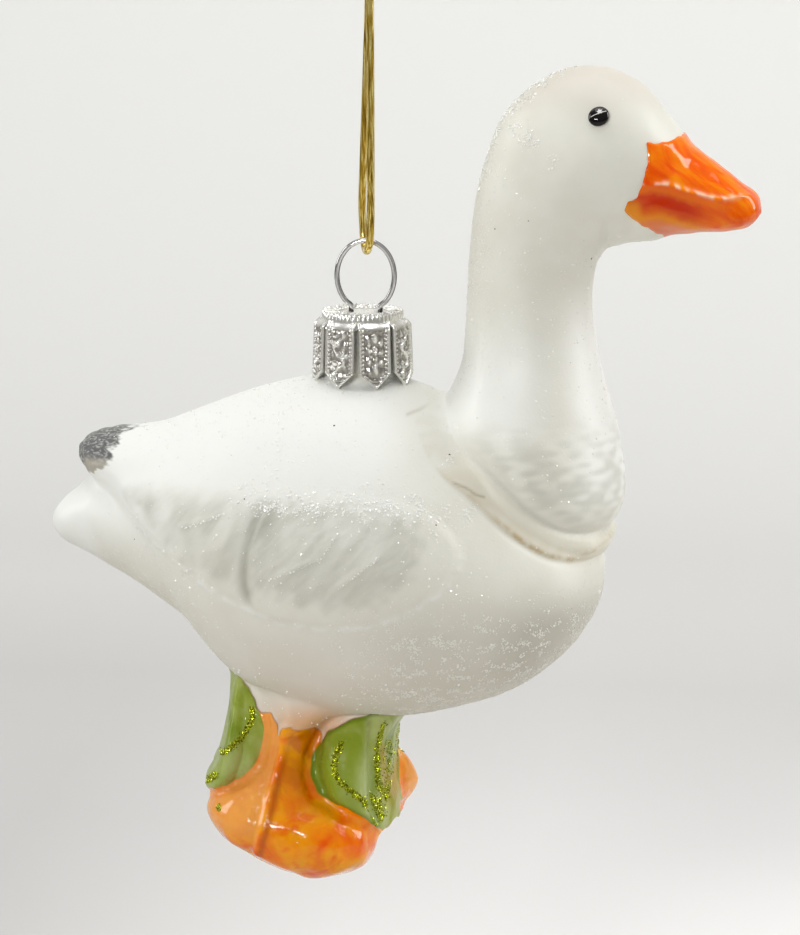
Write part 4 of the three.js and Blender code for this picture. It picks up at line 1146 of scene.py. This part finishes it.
# Sugar: coarser white crystals, in drifts on the breast and belly, the nape and the back.
drifts = ramp(field(1.7, 33) + 0.6 * field(0.8, 34), 0.1, 0.9)
breast = ramp(z, -42, -50) * ramp(x, -4, 10)
rump = ramp(x, -18, -24) * ramp(z, -38, -42) * ramp(z, -60, -50)
nape = ramp(x, 18.5, 15.5) * ramp(z, -20, -6)
back = ramp(normal[:, 2], 0.5, 0.9) * ramp(x, 24, 18)
places, near = scattered(clear * (drifts * (1.6 * breast + 0.8 * rump + 0.5 * nape) + 0.5 * nape
                                  + 0.054 * back), GRAINS["sugar"])
sizes = (0.05 + 0.09 * rng.random(len(places)) ** 2) * (1 + 0.3 * breast[near])
sugar = Finish("sugar_grains")
sugar.set(Base_Color=sugar.blend(sugar.noise(0.003), (232, 230, 220), (248, 247, 240)),
          Roughness=0.3, Specular_IOR_Level=0.6)
grains("sugar", places + normal[near] * 0.02, normal[near], sizes, 0.25, 0.4, sugar,
       "white_glass")

lime = Finish("green_glitter")
lime.set(Base_Color=lime.colours(lime.noise(0.00025, 1), (0.3, 84, 92, 4), (0.5, 176, 186, 16),
                                 (0.7, 232, 236, 96)),
         Metallic=0.85, Roughness=0.18)
places, ways = strewn(VEINS, 0.17)
grains("green_glitter", places + ways * 0.09 * rng.random((len(places), 1)), ways,
       0.1 + 0.08 * rng.random(len(places)), 0.7, 0.5, lime, "leaf_enamel")

soot = Finish("dark_specks")
soot.set(Base_Color=soot.blend(soot.noise(0.0002), (40, 38, 34), (70, 66, 58)), Roughness=0.6)
places, ways = on_side([(px, pz) for px, pz, _ in SPECKS], -1)
grains("dark_specks", places, ways, np.array([size for _, _, size in SPECKS]), 0.2, 0.5, soot,
       "white_glass")

# ---- studio: a pale sweep under and behind the hanging ornament, and soft lights ----

FLOOR, WALL, BEND, TOP, WIDTH = -125, 750, 350, 1300, 3200
bend = [(WALL - BEND + BEND * math.sin(a), FLOOR + BEND - BEND * math.cos(a))
        for a in np.linspace(0, math.pi / 2, 40)]
profile = [(-1600, FLOOR), (-800, FLOOR), (0, FLOOR), *bend, (WALL, TOP)]
paper = Finish("paper")
depth = paper.axis("Y")
# The sweep's colour is painted light and shade along its depth: darker in a band at the bend and
# palest up the wall.
tone = paper.colours(paper.span(depth, -0.01, 0.69, soft=False),
                     (0, 207, 205, 201), (0.09, 230, 228, 224), (0.13, 236, 235, 234),
                     (0.23, 223, 222, 221), (0.38, 211, 210, 208), (0.56, 219, 218, 216),
                     (1, 248, 248, 245))
# Painted shade on the floor to the left of the ornament.
dim = paper.times(paper.span(paper.axis("X"), -0.08, 0.01, 0.55, 0, soft=False),
                  paper.span(depth, 0.08, 0.34, 1, 0, soft=False))
paper.set(Base_Color=paper.blend(dim, tone, (152, 150, 147)), Roughness=0.9,
          Specular_IOR_Level=0.1)
sweep = shape("sweep", [(side * WIDTH / 2, far, up) for far, up in profile for side in (-1, 1)],
              [(k, k + 1, k + 3, k + 2) for k in range(0, 2 * len(profile) - 2, 2)], paper)


def softbox(name, place, size, power, at=(0, 0, -0.03)):
    """A rectangular lamp of that size, in metres, aimed at a place."""
    light = bpy.data.lights.new(name, "AREA")
    light.shape = "RECTANGLE"
    light.size, light.size_y = size
    light.energy = power
    aimed(linked(name, light), place, Vector(at) - Vector(place))


softbox("top", (0, -0.02, 0.55), (0.4, 0.3), 0.98)
softbox("front", (-0.2, -0.75, 0.28), (0.3, 0.05), 2.6)
softbox("right", (0.6, 0.12, 0.22), (0.2, 0.4), 2.15)
softbox("left", (-0.6, 0, 0.22), (0.2, 0.35), 1.15)
softbox("wall", (0, 0.25, 0.75), (1.2, 0.3), 2.35, at=(0, 0.75, 0.1))

studio = Finish("studio", bpy.data.worlds, "Background", "Generated")
studio.set(Color=studio.colours(studio.span(studio.axis("Z"), -1, 1, soft=False),
                                (0, 89.04, 87.31, 84.62), (0.5, 89.04, 87.74, 85.52),
                                (0.62, 129.13, 129.13, 126.38), (1, 148.88, 148.88, 148.88)))
bpy.context.scene.world = studio.block
